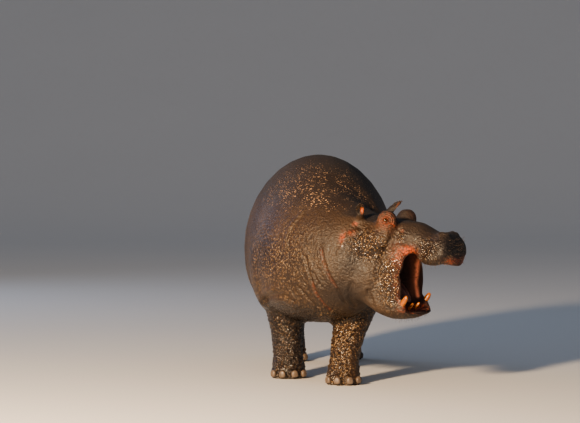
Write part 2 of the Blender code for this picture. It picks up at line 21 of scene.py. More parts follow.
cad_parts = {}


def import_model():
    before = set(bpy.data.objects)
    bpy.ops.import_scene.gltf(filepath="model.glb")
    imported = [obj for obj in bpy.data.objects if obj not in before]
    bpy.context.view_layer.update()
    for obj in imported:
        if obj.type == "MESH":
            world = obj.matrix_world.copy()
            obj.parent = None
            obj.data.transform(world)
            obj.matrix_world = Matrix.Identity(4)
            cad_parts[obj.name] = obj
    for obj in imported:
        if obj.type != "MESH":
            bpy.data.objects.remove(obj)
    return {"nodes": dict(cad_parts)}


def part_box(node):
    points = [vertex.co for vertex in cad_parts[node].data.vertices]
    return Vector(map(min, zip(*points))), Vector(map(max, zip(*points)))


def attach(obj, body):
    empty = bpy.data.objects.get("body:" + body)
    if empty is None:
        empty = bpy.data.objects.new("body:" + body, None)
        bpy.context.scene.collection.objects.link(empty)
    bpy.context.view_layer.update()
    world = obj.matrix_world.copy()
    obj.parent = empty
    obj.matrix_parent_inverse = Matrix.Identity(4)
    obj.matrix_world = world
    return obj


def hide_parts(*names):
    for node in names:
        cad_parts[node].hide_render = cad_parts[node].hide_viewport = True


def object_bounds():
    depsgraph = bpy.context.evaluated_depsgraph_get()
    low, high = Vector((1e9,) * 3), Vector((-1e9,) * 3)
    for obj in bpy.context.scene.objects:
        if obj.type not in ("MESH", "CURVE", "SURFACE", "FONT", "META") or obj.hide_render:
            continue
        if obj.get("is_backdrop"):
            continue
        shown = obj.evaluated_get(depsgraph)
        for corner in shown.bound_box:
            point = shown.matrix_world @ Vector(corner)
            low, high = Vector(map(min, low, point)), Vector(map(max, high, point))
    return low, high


log = logging.getLogger("hippopotamus")
ROOT_BODY = "root"
FLESH_NODES = (
    "trunk", "neck", "head", "lower_jaw", "ear_left", "ear_right", "tail",
    "leg_front_left", "leg_front_right", "leg_hind_left", "leg_hind_right",
)
FAR = 9.0  # further than any distance that matters


class Side(Enum):
    """One side of the animal: the sign of its left coordinate."""

    RIGHT = -1
    LEFT = 1

    @property
    def word(self) -> str:
        """The side's name, as the nodes carry it."""
        return self.name.lower()

    def mirror(self, place: tuple) -> np.ndarray:
        """A place or a direction of the left side, as it is on this one."""
        return np.array(place) * (1.0, self.value, 1.0)


class End(Enum):
    """The end of the animal that a foot is at, as the nodes name it."""

    FRONT = "front"
    HIND = "hind"


def middle_of(node: str) -> Vector:
    """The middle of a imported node's box."""
    return sum(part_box(node), Vector()) / 2


# ---- Measuring along the animal ----
@dataclass(frozen=True)
class HeadFrame:
    """The head's own axes: forward from the occiput, left, and height above the floor."""

    origin: Vector
    forward: Vector
    left: Vector

    eye_forward: ClassVar[float] = 0.198

    @classmethod
    def from_eyes(cls) -> "HeadFrame":
        """Finds the head's axes from the places of the two eyes.

        Returns:
            The head's frame.
        """
        right, left = (middle_of(f"eye_{side.word}") for side in Side)
        across = left - right
        across.z = 0.0
        across.normalize()
        forward = Vector((across.y, -across.x, 0.0))
        origin = (left + right) / 2 - forward * cls.eye_forward
        origin.z = 0.0
        return cls(origin, forward, across)

    @property
    def axes(self) -> np.ndarray:
        """Rows: forward, left and up, in the model's frame."""
        return np.array([self.forward, self.left, (0.0, 0.0, 1.0)])

    def local(self, points: np.ndarray) -> np.ndarray:
        """Turns the model's points into rows of forward, left and height."""
        return (points - np.array(self.origin)) @ self.axes.T

    def turned(self, local: np.ndarray) -> np.ndarray:
        """Turns directions in the head's coordinates into the model's."""
        return local @ self.axes

    def placed(self, local: np.ndarray) -> np.ndarray:
        """Turns points in the head's coordinates into the model's."""
        return self.turned(local) + np.array(self.origin)


@dataclass(frozen=True)
class PlanLine:
    """The line that the body follows on the floor: straight, and then an arc to the left."""

    head: HeadFrame
    bend_start: float = 0.55
    bend_radius: float = 0.43

    def local(self, points: np.ndarray) -> np.ndarray:
        """Measures points along the line and to its left.

        Args:
            points: rows of x, y, z in the model's frame.

        Returns:
            Rows of distance along, distance to the left, and height.
        """
        turn = math.atan2(self.head.forward.y, self.head.forward.x)
        start_x = self.head.origin.x - self.bend_radius * math.sin(turn)
        start_y = self.head.origin.y - self.bend_radius * (1.0 - math.cos(turn))
        ahead = points[:, 0] - start_x
        aside = points[:, 1] - start_y
        angle = np.arctan2(np.maximum(ahead, 0.0), self.bend_radius - aside)
        bent = ahead > 0.0
        along = np.where(bent, self.bend_start + self.bend_radius * angle, self.bend_start + ahead)
        spread = np.hypot(ahead, self.bend_radius - aside)
        lateral = np.where(bent, self.bend_radius - spread, aside)
        return np.column_stack([along, lateral, points[:, 2]])


# ---- Shapes of falloff and noise ----
def smooth_step(low: float, high: float, values: np.ndarray) -> np.ndarray:
    """A smooth rise from 0 at low to 1 at high.

    Args:
        low: where the rise starts.
        high: where it ends; a fall if it is less than low.
        values: where it is wanted.

    Returns:
        Values from 0 to 1.
    """
    t = np.clip((values - low) / (high - low), 0.0, 1.0)
    return t * t * (3.0 - 2.0 * t)


def ridge(distance: np.ndarray, width: float) -> np.ndarray:
    """A rounded ridge, 1 at no distance and fading over the width."""
    return np.exp(-((distance / width) ** 2))


def mound(points: np.ndarray, centre: tuple, radii: tuple) -> np.ndarray:
    """A rounded mound, 1 at its centre and fading over its radii."""
    away = (points - np.array(centre)) / np.array(radii)
    return np.exp(-(away ** 2).sum(axis=1))


def hashed(cells: np.ndarray, seed: int) -> np.ndarray:
    """Even pseudo-random values for the cells of a lattice.

    Args:
        cells: whole numbers, three to a cell in the last axis.
        seed: which set of values.

    Returns:
        Values from 0 to 1, one a cell.
    """
    n = cells[..., 0] * 374761393 + cells[..., 1] * 668265263 + cells[..., 2] * 1440662683
    n = n + seed * 1274126177
    n = (n ^ (n >> 13)) * 1103515245
    n = (n ^ (n >> 15)) * 12345677
    return ((n ^ (n >> 16)) & 0xFFFF) / 65535.0


def soft_noise(points: np.ndarray, size: float, seed: int) -> np.ndarray:
    """Smooth noise whose lumps are about the given size across.

    Args:
        points: rows of x, y, z.
        size: the size of a lump.
        seed: which noise.

    Returns:
        Values from -1 to 1.
    """
    scaled = points / size
    cell = np.floor(scaled).astype(np.int64)
    t = scaled - cell
    t = t * t * (3.0 - 2.0 * t)
    total = np.zeros(len(points))
    for corner in np.ndindex(2, 2, 2):
        share = np.prod(np.where(np.array(corner), t, 1.0 - t), axis=1)
        total += share * hashed(cell + np.array(corner), seed)
    return 2.0 * total - 1.0


def cells_noise(points: np.ndarray, size: float, seed: int) -> tuple[np.ndarray, np.ndarray]:
    """Distances to the nearest and the second nearest of scattered seeds.

    Args:
        points: rows of x, y, z.
        size: how far apart the seeds are.
        seed: which scatter.

    Returns:
        The two distances, in units of the size.
    """
    scaled = points / size
    cell = np.floor(scaled).astype(np.int64)
    first = np.full(len(points), FAR)
    second = np.full(len(points), FAR)
    for offset in np.ndindex(3, 3, 3):
        other = cell + (np.array(offset) - 1)
        away = np.zeros(len(points))
        for axis in range(3):
            spot = other[:, axis] + hashed(other, seed + 17 * axis)
            away += (scaled[:, axis] - spot) ** 2
        second = np.minimum(second, np.maximum(first, away))
        first = np.minimum(first, away)
    return np.sqrt(first), np.sqrt(second)


# ---- Mesh helpers ----
def read_all(items: bpy.types.bpy_prop_collection, name: str, width: int = 1,
             kind: type = np.int32) -> np.ndarray:
    """Reads one property of every vertex, edge, face or corner of a mesh.

    Args:
        items: the vertices, edges, faces or corners.
        name: the property.
        width: how many numbers it has.
        kind: their type.

    Returns:
        A number for each item, or a row for each where the property has more than one.
    """
    flat = np.empty(len(items) * width, kind)
    items.foreach_get(name, flat)
    return flat.reshape(-1, width) if width > 1 else flat


def coordinates(thing: bpy.types.Object) -> np.ndarray:
    """The piece's vertex positions, one row each."""
    return read_all(thing.data.vertices, "co", 3, np.float32).astype(np.float64)


def normals(thing: bpy.types.Object) -> np.ndarray:
    """The piece's vertex normals, one row each."""
    return read_all(thing.data.vertex_normals, "vector", 3, np.float32).astype(np.float64)


def move_to(thing: bpy.types.Object, points: np.ndarray) -> None:
    """Moves the piece's vertices to the given rows."""
    thing.data.vertices.foreach_set("co", points.astype(np.float32).ravel())
    thing.data.update()


def made_active(thing: bpy.types.Object) -> None:
    """Selects one piece alone and makes it the active one.

    Args:
        thing: the piece.
    """
    bpy.ops.object.select_all(action="DESELECT")
    thing.select_set(True)
    bpy.context.view_layer.objects.active = thing


@contextmanager
def edit_mode(thing: bpy.types.Object) -> Iterator[None]:
    """Opens one piece in edit mode for the operators inside.

    Args:
        thing: the piece.

    Returns:
        A context that leaves edit mode at its end.
    """
    made_active(thing)
    bpy.ops.object.mode_set(mode="EDIT")
    yield
    bpy.ops.object.mode_set(mode="OBJECT")


def primitive(name: str, add: Callable, **settings: object) -> bpy.types.Object:
    """Adds a primitive, with nothing else selected.

    Args:
        name: the piece's name.
        add: the operator that adds it.
        **settings: the operator's settings.

    Returns:
        The new piece.
    """
    bpy.ops.object.select_all(action="DESELECT")
    add(**settings)
    thing = bpy.context.active_object
    thing.name = thing.data.name = name
    return thing


def with_modifier(thing: bpy.types.Object, kind: str, **settings: object) -> None:
    """Adds a modifier to the piece and applies it.

    Args:
        thing: the piece.
        kind: the modifier's type.
        **settings: its settings.
    """
    made_active(thing)
    modifier = thing.modifiers.new(kind.lower(), kind)
    for name, value in settings.items():
        setattr(modifier, name, value)
    bpy.ops.object.modifier_apply(modifier=modifier.name)


def select_vertices(thing: bpy.types.Object, chosen: np.ndarray) -> None:
    """Selects vertices, and the edges and faces between them, in object mode.

    Args:
        thing: the piece.
        chosen: true for each vertex that is selected.
    """
    data = thing.data
    ends = read_all(data.edges, "vertices", 2)
    corners = read_all(data.loops, "vertex_index")
    starts = read_all(data.polygons, "loop_start")
    data.vertices.foreach_set("select", chosen)
    data.edges.foreach_set("select", chosen[ends].all(axis=1))
    data.polygons.foreach_set("select", np.logical_and.reduceat(chosen[corners], starts))


def weigh(thing: bpy.types.Object, name: str, weights: np.ndarray, steps: int = 20) -> None:
    """Gives the piece a vertex group.

    Args:
        thing: the piece.
        name: the group's name.
        weights: each vertex's weight.
        steps: how many steps the weights are stored in.
    """
    group = thing.vertex_groups.new(name=name)
    levels = np.round(np.clip(weights, 0.0, 1.0) * steps).astype(int)
    for level in np.unique(levels):
        if level:
            group.add(np.flatnonzero(levels == level).tolist(), level / steps, "REPLACE")


def paint(thing: bpy.types.Object, name: str, values: np.ndarray) -> None:
    """Stores a mask on the piece, for its material to read.

    Args:
        thing: the piece.
        name: the mask's name.
        values: each vertex's value, from 0 to 1.
    """
    layer = thing.data.attributes.new(name, "FLOAT", "POINT")
    layer.data.foreach_set("value", np.clip(values, 0.0, 1.0).astype(np.float32))


def smooth_shaded(thing: bpy.types.Object) -> bpy.types.Object:
    """Shades the whole piece smooth.

    Args:
        thing: the piece.

    Returns:
        The same piece.
    """
    made_active(thing)
    bpy.ops.object.shade_smooth()
    return thing


def settle(thing: bpy.types.Object, slot: str, material: bpy.types.Material, *nodes: str) -> None:
    """Names what a finished piece rides on, stands for and is made of.

    Args:
        thing: the piece.
        slot: not used.
        material: its finish.
        *nodes: the nodes that it replaces.
    """
    thing.data.materials.clear()
    thing.data.materials.append(material)
    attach(thing, ROOT_BODY)
    if nodes:
        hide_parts(*nodes)
    triangles = sum(len(face.vertices) - 2 for face in thing.data.polygons)
    log.info("%s: %d triangles", thing.name, triangles)


def line_distance(points: np.ndarray, line: tuple, reach: float) -> np.ndarray:
    """Distances from points to a line of straight runs.

    Args:
        points: rows of x, y, z.
        line: the line's points, in the same coordinates.
        reach: how far from the line distances matter; further ones are only "far".

    Returns:
        A distance for each point.
    """
    knots = np.array(line)
    found = np.full(len(points), FAR)
    inside = (points > knots.min(axis=0) - reach) & (points < knots.max(axis=0) + reach)
    close = np.flatnonzero(inside.all(axis=1))
    for start, end in zip(knots, knots[1:]):
        run = end - start
        offset = points[close] - start
        t = np.clip(offset @ run / (run @ run), 0.0, 1.0)
        away = np.linalg.norm(offset - t[:, None] * run, axis=1)
        found[close] = np.minimum(found[close], away)
    return found


# ---- Forms in the skin ----
@dataclass(frozen=True)
class Furrow:
    """A crease along a line, with a low swelling on each side of it."""

    line: tuple
    depth: float
    width: float
    swell: float = 0.35

    reach: ClassVar[float] = 6.0
    bank_away: ClassVar[float] = 2.2
    bank_width: ClassVar[float] = 1.2

    def relief(self, points: np.ndarray) -> np.ndarray:
        """Finds how far the skin moves outwards.

        Args:
            points: rows in the line's coordinates.

        Returns:
            A distance for each point.
        """
        away = line_distance(points, self.line, self.reach * self.width)
        groove = ridge(away, self.width)
        banks = ridge(away - self.bank_away * self.width, self.bank_width * self.width)
        return self.depth * (self.swell * banks - groove)


@dataclass(frozen=True)
class Mound:
    """A round spot that fades over its radii: a swelling's height, or the strength of a mask."""

    centre: tuple
    radii: tuple
    strength: float = 1.0

    def at(self, points: np.ndarray) -> np.ndarray:
        """The height or the strength at each point."""
        return self.strength * mound(points, self.centre, self.radii)


def strongest(spots: tuple, points: np.ndarray) -> np.ndarray:
    """The strongest of several spots at each point."""
    return np.maximum.reduce([spot.at(points) for spot in spots])


@dataclass(frozen=True)
class Pull:
    """A part of the head's skin that is drawn to one side, less and less away from its centre."""

    centre: tuple
    radii: tuple
    shift: tuple

    @classmethod
    def pair(cls, centre: tuple, radii: tuple, shift: tuple) -> list["Pull"]:
        """The same pull on the right and on the left."""
        return [cls(side.mirror(centre), radii, side.mirror(shift)) for side in Side]

    def moved(self, points: np.ndarray) -> np.ndarray:
        """The points where the pull leaves them."""
        return points + mound(points, self.centre, self.radii)[:, None] * np.array(self.shift)


@dataclass(frozen=True)
class Eye:
    """One eye: its ball's place in the head, its size, its gaze and the opening of its lids."""

    side: Side
    place: tuple = (0.198, 0.1560, 0.922)
    radius: float = 0.0205
    gaze: tuple = (0.30, 0.93, 0.16)
    slant: tuple = (1.0, 0.0, -0.16)
    half_open: float = 0.96
    upper_lid: float = 0.56
    lower_lid: float = 0.48
    lid: float = 0.0026
    reach: float = 2.6
    sunk: float = 0.82
    folds: tuple = ((0.0265, 0.0024, 0.0024), (0.0345, 0.0028, 0.0030),
                    (0.0440, 0.0024, 0.0036), (0.0560, 0.0022, 0.0045),
                    (0.0700, 0.0022, 0.0050), (0.0850, 0.0020, 0.0055))

    def centre(self) -> np.ndarray:
        """The ball's centre in the head's frame."""
        return self.side.mirror(self.place)

    def axes(self) -> np.ndarray:
        """Finds the ball's axes.

        Returns:
            Rows: ahead along the lids' opening, up, and out along the gaze.
        """
        out = Vector(self.side.mirror(self.gaze)).normalized()
        slant = Vector(self.slant)
        ahead = (slant - out * out.dot(slant)).normalized()
        up = out.cross(ahead) * self.side.value * -1.0
        return np.array([ahead, up, out])

    def wrap(self, local: np.ndarray) -> np.ndarray:
        """Wraps the skin over the ball, with an opening between the lids.

        Args:
            local: vertex positions in the head's frame.

        Returns:
            The new positions.
        """
        away = local - self.centre()
        near = np.flatnonzero(np.linalg.norm(away, axis=1) < self.reach * self.radius)
        turned = away[near] @ self.axes().T
        spread = np.maximum(np.linalg.norm(turned, axis=1), 1e-6)
        unit = turned / spread[:, None]
        across = unit[:, 0] / self.half_open
        bow = np.clip(1.0 - across ** 2, 0.0, 1.0)
        edge = np.where(unit[:, 1] > 0.0, self.upper_lid, self.lower_lid) * bow
        outside = np.maximum(np.abs(unit[:, 1]) - edge, np.abs(unit[:, 0]) - self.half_open)
        front = smooth_step(0.30, 0.62, unit[:, 2])
        lid = self.radius + self.lid * (0.75 + 0.55 * smooth_step(0.0, 0.16, outside))
        rest = np.where(outside < 0.0, self.sunk * self.radius, lid)
        wanted = spread + front * (rest - spread)
        moved = local.copy()
        moved[near] = self.centre() + (unit * wanted[:, None]) @ self.axes()
        return moved

    def rings(self, local: np.ndarray) -> np.ndarray:
        """Finds the relief of the folds that run round the eye.

        Args:
            local: vertex positions in the head's frame.

        Returns:
            How far the skin moves outwards at each.
        """
        turned = (local - self.centre()) @ self.axes().T
        spread = np.hypot(turned[:, 0] / 1.18, turned[:, 1])
        facing = smooth_step(-0.02, 0.004, turned[:, 2])
        total = np.zeros(len(local))
        for radius, depth, width in self.folds:
            total -= depth * ridge(spread - radius, width)
            total += 0.6 * depth * ridge(spread - radius - 2.0 * width, 1.4 * width)
        return total * facing


@dataclass(frozen=True)
class Ear:
    """One ear: a short rounded cup that turns on a thick root."""

    side: Side
    root: tuple
    lean: tuple
    facing: tuple = (0.55, 0.75, 0.0)
    flush: float = 1.0
    half_width: float = 0.05
    cup_radii: tuple = (0.025, 0.038)
    cup_height: float = 0.058
    cup_depth: float = 0.021
    tip_pinch: float = 0.55
    tip_thinning: float = 0.45

    def local(self, points: np.ndarray) -> np.ndarray:
        """Turns points of the head's frame into the ear's: towards its face, across, and up it."""
        return (points - self.base()) @ self.axes().T

    def base(self) -> np.ndarray:
        """The middle of the ear's root in the head's frame."""
        return self.side.mirror(self.root)

    def axes(self) -> np.ndarray:
        """Finds the ear's axes.

        Returns:
            Rows: towards the hollow face, towards the muzzle, and up the ear.
        """
        up = Vector(self.side.mirror(self.lean)).normalized()
        facing = Vector(self.side.mirror(self.facing))
        front = (facing - up * facing.dot(up)).normalized()
        return np.array([front, -self.side.value * up.cross(front), up])

    def holds(self, points: np.ndarray, low: float, high: float = 0.13,
              half_depth: float = 0.05) -> np.ndarray:
        """Finds the points that lie on the ear.

        Args:
            points: rows in the head's frame.
            low: the least height above the ear's root.
            high: the greatest height.
            half_depth: how far they may lie before or behind the ear's middle.

        Returns:
            True for each that does.
        """
        own = self.local(points)
        level = (own[:, 2] > low) & (own[:, 2] < high)
        return level & (np.abs(own[:, 1]) < self.half_width) & (np.abs(own[:, 0]) < half_depth)

    def hollow(self, points: np.ndarray) -> tuple[np.ndarray, np.ndarray, np.ndarray]:
        """Hollows the ear's face into a cup, thins its rim and narrows its tip.

        Args:
            points: vertex positions in the head's frame.

        Returns:
            The new positions, a mask of the cup's pink front wall, and one of its pit, for painted
            shade.
        """
        own = self.local(points)
        on_ear = smooth_step(0.016, 0.034, own[:, 2]) * self.holds(points, 0.016, 0.14, 0.04)
        facing = smooth_step(-0.005, 0.004, own[:, 0])
        away = np.hypot(own[:, 1] / self.cup_radii[0],
                        (own[:, 2] - self.cup_height) / self.cup_radii[1])
        cup = on_ear * np.exp(-(away ** 4)) * facing
        wall = cup * smooth_step(-0.004, 0.006, own[:, 1])
        # The cup's pit, which the finish paints in shade.
        pit_shade = cup * smooth_step(0.008, -0.002, own[:, 1])
        own[:, 1] *= 1.0 - self.tip_pinch * on_ear * smooth_step(0.055, 0.115, own[:, 2])
        own[:, 0] *= 1.0 - self.tip_thinning * on_ear * smooth_step(0.03, 0.09, own[:, 2])
        own[:, 0] -= self.cup_depth * cup
        moved = own @ self.axes() + self.base()
        return np.where((on_ear > 0.0)[:, None], moved, points), wall, pit_shade


# Forms of the head, in its frame. Swellings and furrows are mirrored; a single pull is not.
LIP_PULLS = (
    *Pull.pair((0.398, 0.125, 0.735), (0.045, 0.060, 0.042), (0.0, 0.0, -0.026)),
    *Pull.pair((0.386, 0.120, 0.752), (0.026, 0.055, 0.032), (0.0, 0.0, -0.038)),
    Pull((0.275, -0.140, 0.620), (0.050, 0.050, 0.100), (0.011, 0.0, 0.0)),
    Pull((0.270, 0.125, 0.610), (0.040, 0.050, 0.085), (0.018, 0.0, 0.0)),
    Pull((0.340, 0.120, 0.430), (0.035, 0.045, 0.030), (0.020, 0.020, -0.012)),
    Pull((0.310, -0.132, 0.460), (0.040, 0.042, 0.030), (-0.008, 0.0, -0.027)),
    Pull((0.562, 0.020, 0.702), (0.030, 0.080, 0.026), (0.002, 0.0, -0.024)),
    *Pull.pair((0.530, 0.112, 0.706), (0.036, 0.048, 0.030), (0.0, 0.0, 0.022)),
)
HEAD_SWELLINGS = (
    Mound((0.118, 0.190, 0.812), (0.066, 0.05, 0.046), 0.007),
    Mound((0.300, 0.122, 0.828), (0.040, 0.04, 0.030), 0.006),
    Mound((0.050, 0.180, 0.520), (0.060, 0.08, 0.070), 0.006),
    Mound((0.240, 0.155, 0.560), (0.060, 0.05, 0.080), 0.004),
    Mound((0.498, 0.066, 0.858), (0.034, 0.030, 0.03), 0.002),
    Mound((0.360, 0.020, 0.895), (0.120, 0.060, 0.06), 0.015),
)
CHEEK_VALLEY = Furrow(((0.257, 0.115, 0.872), (0.240, 0.137, 0.838), (0.218, 0.160, 0.807),
                       (0.196, 0.158, 0.762), (0.182, 0.150, 0.725)), 0.008, 0.019, 0.15)
TEAR_FOLD = Furrow(((0.222, 0.164, 0.922), (0.234, 0.152, 0.902), (0.252, 0.118, 0.880),
                    (0.280, 0.112, 0.864)), 0.0030, 0.0042, 0.5)
HEAD_FURROWS = (
    CHEEK_VALLEY,
    TEAR_FOLD,
    Furrow(((0.330, 0.092, 0.757), (0.293, 0.114, 0.778), (0.253, 0.129, 0.790)), 0.0030, 0.006),
    Furrow(((0.322, 0.100, 0.738), (0.275, 0.125, 0.752), (0.226, 0.138, 0.752)), 0.0034, 0.006),
    Furrow(((0.312, 0.120, 0.712), (0.262, 0.138, 0.722), (0.215, 0.142, 0.716)), 0.0026, 0.006),
    Furrow(((0.124, 0.146, 0.462), (0.116, 0.164, 0.500), (0.104, 0.178, 0.540)),
           0.0070, 0.008, 0.3),
    Furrow(((0.200, 0.060, 0.958), (0.262, 0.052, 0.925), (0.330, 0.062, 0.900)), 0.003, 0.010),
)
NOSTRIL = Furrow(((0.488, 0.082, 0.856), (0.504, 0.068, 0.861), (0.524, 0.060, 0.852)),
                 0.011, 0.0050, 0.25)

# Creases of the neck and trunk: points of distance along, distance left, and height.
THROAT_CREASE = Furrow(
    ((0.923, -0.263, 0.770), (0.931, -0.266, 0.716), (0.943, -0.261, 0.656), (0.956, -0.244, 0.602),
     (0.971, -0.209, 0.541), (0.972, -0.151, 0.478), (0.968, -0.052, 0.428),
     (0.965, 0.060, 0.425)), 0.0060, 0.0055, 0.6)
NECK_CREASE = Furrow(
    ((0.863, -0.287, 0.723), (0.875, -0.283, 0.658), (0.884, -0.275, 0.615),
     (0.886, -0.248, 0.532), (0.894, -0.196, 0.465), (0.897, -0.130, 0.417)), 0.0045, 0.0055, 0.9)
BODY_FURROWS = (
    # On the right of the neck and over the right foreleg.
    THROAT_CREASE,
    NECK_CREASE,
    Furrow(((0.885, -0.205, 0.930), (0.905, -0.239, 0.855), (0.923, -0.263, 0.770)),
           0.0022, 0.0070, 0.6),
    Furrow(((0.790, -0.213, 0.964), (0.781, -0.250, 0.920), (0.772, -0.273, 0.887),
            (0.766, -0.290, 0.850), (0.767, -0.306, 0.799), (0.776, -0.314, 0.755)),
           -0.0036, 0.009, 0.50),
    Furrow(((0.893, -0.275, 0.637), (0.906, -0.257, 0.578), (0.920, -0.240, 0.550)),
           0.0045, 0.0050, 0.8),
    Furrow(((0.825, -0.284, 0.556), (0.848, -0.244, 0.491), (0.863, -0.191, 0.440)),
           0.0050, 0.0060, 0.6),
    Furrow(((0.990, -0.245, 0.750), (1.006, -0.224, 0.815), (1.023, -0.203, 0.842),
            (1.041, -0.180, 0.863)), -0.0045, 0.011, 0.5),
    Furrow(((1.027, -0.202, 0.581), (1.013, -0.184, 0.542), (0.998, -0.135, 0.484),
            (0.990, -0.071, 0.447)), 0.0045, 0.0080, 0.5),
    Furrow(((0.707, -0.320, 0.529), (0.732, -0.307, 0.521), (0.766, -0.299, 0.529),
            (0.778, -0.279, 0.497)), 0.0055, 0.0085, 0.5),
    Furrow(((0.545, -0.325, 0.445), (0.633, -0.313, 0.486), (0.704, -0.300, 0.503),
            (0.752, -0.281, 0.500), (0.772, -0.258, 0.470)), 0.0105, 0.0140, 0.8),
    # On the left of the neck.
    Furrow(((0.930, 0.17, 0.960), (0.915, 0.24, 0.800), (0.910, 0.245, 0.640),
            (0.900, 0.17, 0.470), (0.900, 0.025, 0.400)), 0.0080, 0.0085, 0.6),
    Furrow(((0.810, 0.19, 0.985), (0.805, 0.285, 0.820), (0.815, 0.290, 0.640),
            (0.830, 0.20, 0.450), (0.870, 0.05, 0.390)), 0.0065, 0.0085, 0.6),
    Furrow(((0.690, 0.25, 0.980), (0.700, 0.325, 0.820), (0.720, 0.330, 0.640)), 0.005, 0.010),
    # Behind the forelegs, before the hind legs and under the tail.
    Furrow(((0.290, -0.380, 0.350), (0.235, -0.405, 0.430), (0.215, -0.420, 0.540)), 0.006, 0.014),
    Furrow(((0.330, 0.375, 0.350), (0.270, 0.405, 0.430), (0.240, 0.420, 0.540)), 0.006, 0.014),
    Furrow(((-0.560, 0.315, 0.365), (-0.430, 0.375, 0.430), (-0.330, 0.410, 0.560)), 0.007, 0.016),
    Furrow(((-0.520, -0.315, 0.365), (-0.400, -0.375, 0.430), (-0.310, -0.410, 0.560)),
           0.007, 0.016),
    Furrow(((-0.925, 0.0, 0.860), (-0.935, 0.0, 0.700), (-0.880, 0.0, 0.560),
            (-0.800, 0.0, 0.450)), 0.010, 0.022, 0.3),
)


# Spots of the head's masks, in its frame. PINK_SPOTS, the inner cheek's painted light and the
# painted
# # shadow on the far orbit lie on one side, and the others are mirrored.
PEBBLED_HEAD = (
    Mound((0.11, 0.19, 0.785), (0.11, 0.2, 0.085)),
    Mound((0.24, 0.15, 0.59), (0.095, 0.2, 0.17)),
    Mound((0.275, 0.12, 0.835), (0.045, 0.2, 0.040), 0.8),
    Mound((0.43, 0.13, 0.765), (0.105, 0.2, 0.085), 0.9),
)
EYE_SURROUND = Mound((0.206, 0.165, 0.920), (0.056, 0.050, 0.046))
LIP_FRONT = Mound((0.545, 0.050, 0.705), (0.030, 0.075, 0.022), 0.6)
PINK_HEAD = (
    Mound((0.308, 0.112, 0.758), (0.042, 0.05, 0.024)),
    Mound((0.262, 0.135, 0.735), (0.036, 0.05, 0.050), 0.42),
    Mound((0.288, 0.055, 0.442), (0.026, 0.080, 0.016)),
    LIP_FRONT,
)
PINK_SPOTS = (
    Mound((0.016, -0.162, 0.900), (0.011, 0.03, 0.010), 0.8),
    Mound((-0.032, -0.222, 0.828), (0.014, 0.03, 0.034), 0.6),
    Mound((0.010, -0.198, 0.852), (0.020, 0.03, 0.014), 0.4),
    Mound((0.000, 0.195, 0.860), (0.022, 0.04, 0.036), 0.8),
)
# The far inner cheek's pink with painted light: a bright strip where the key light reaches it, and
# a faint spread round it.
LIT_CHEEK_STRIP = ((0.268, 0.112, 0.700), (0.255, 0.120, 0.630), (0.247, 0.126, 0.580),
               (0.249, 0.124, 0.550), (0.262, 0.115, 0.500))
LIT_INNER_CHEEK = Mound((0.236, 0.124, 0.585), (0.016, 0.05, 0.12), 0.16)
# Painted shade over the lower cheek and jaw.
JAW_SHADE = Mound((0.08, 0.19, 0.67), (0.09, 0.1, 0.085), 0.40)
# Painted shadow of the near orbit on the far orbit.
FAR_ORBIT_SHADOW = Mound((0.205, 0.130, 0.925), (0.08, 0.07, 0.07))

# Spots of the masks of the neck and trunk, on both sides, in distances along, aside and up.
PEBBLED_SHOULDER = Mound((0.61, 0.33, 0.68), (0.46, 0.42, 0.32), 0.72)
# Painted shade on the neck, on the throat under the jaw and on the chest.
NECK_SHADE = (
    Mound((0.93, 0.25, 0.78), (0.08, 0.1, 0.13), 0.42),
    Mound((1.03, 0.22, 0.69), (0.080, 0.1, 0.13), 0.75),
    Mound((0.98, 0.18, 0.53), (0.13, 0.15, 0.12), 0.85),
    Mound((0.88, 0.26, 0.58), (0.10, 0.15, 0.14), 0.32),
)


@dataclass(frozen=True)
class Mouth:
    """The hollow of the open mouth, as level outlines in the head's frame."""

    heights: tuple = (0.424, 0.436, 0.480, 0.540, 0.620, 0.680, 0.720, 0.742)
    backs: tuple = (0.300, 0.270, 0.234, 0.190, 0.140, 0.108, 0.112, 0.170)
    fronts: tuple = (0.380, 0.430, 0.460, 0.480, 0.500, 0.500, 0.505, 0.480)
    half_widths: tuple = (0.085, 0.114, 0.132, 0.134, 0.128, 0.112, 0.096, 0.066)
    squareness: float = 2.9
    end_fade: float = 0.02

    def depth(self, local: np.ndarray) -> np.ndarray:
        """Finds how deep points lie in the hollow.

        Args:
            local: rows in the head's frame.

        Returns:
            0 at the hollow's middle, 1 on its wall and more outside it.
        """
        height = np.clip(local[:, 2], self.heights[0], self.heights[-1])
        back = np.interp(height, self.heights, self.backs)
        front = np.interp(height, self.heights, self.fronts)
        wide = np.interp(height, self.heights, self.half_widths)
        ahead = np.abs(local[:, 0] - 0.5 * (front + back)) / (0.5 * (front - back))
        aside = np.abs(local[:, 1]) / wide
        level = (ahead ** self.squareness + aside ** self.squareness) ** (1 / self.squareness)
        above = np.maximum(local[:, 2] - self.heights[-1], 0.0)
        below = np.maximum(self.heights[0] - local[:, 2], 0.0)
        return level + (above + below) / self.end_fade

    def inside(self, local: np.ndarray) -> np.ndarray:
        """A mask of the mouth's lining: its walls, palate and floor."""
        return 1.0 - smooth_step(1.03, 1.16, self.depth(local))

    def rim(self, local: np.ndarray, level: float = 1.17, width: float = 0.07) -> np.ndarray:
        """A mask of the lips round the hollow."""
        return ridge(self.depth(local) - level, width)


# ---- The hide ----
class Region(Enum):
    """Stretches of the hide, each with the share of its faces that is kept."""

    REAR = 0.05
    SHOULDERS = 0.185
    HEAD = 0.62


@dataclass(frozen=True)
class Places:
    """Where the hide's vertices lie, a row for each: mirrored and beside have both sides on one.

    The share is how much each belongs to the head: 1 on it and 0 on the trunk. The eye gap is its
    distance from the middle of the eye.
    """

    model: np.ndarray
    own: np.ndarray
    mirrored: np.ndarray
    plan: np.ndarray
    beside: np.ndarray
    share: np.ndarray
    eye_gap: np.ndarray


def folded(points: np.ndarray) -> np.ndarray:
    """The points with the right side laid over the left."""
    return np.column_stack([points[:, 0], np.abs(points[:, 1]), points[:, 2]])


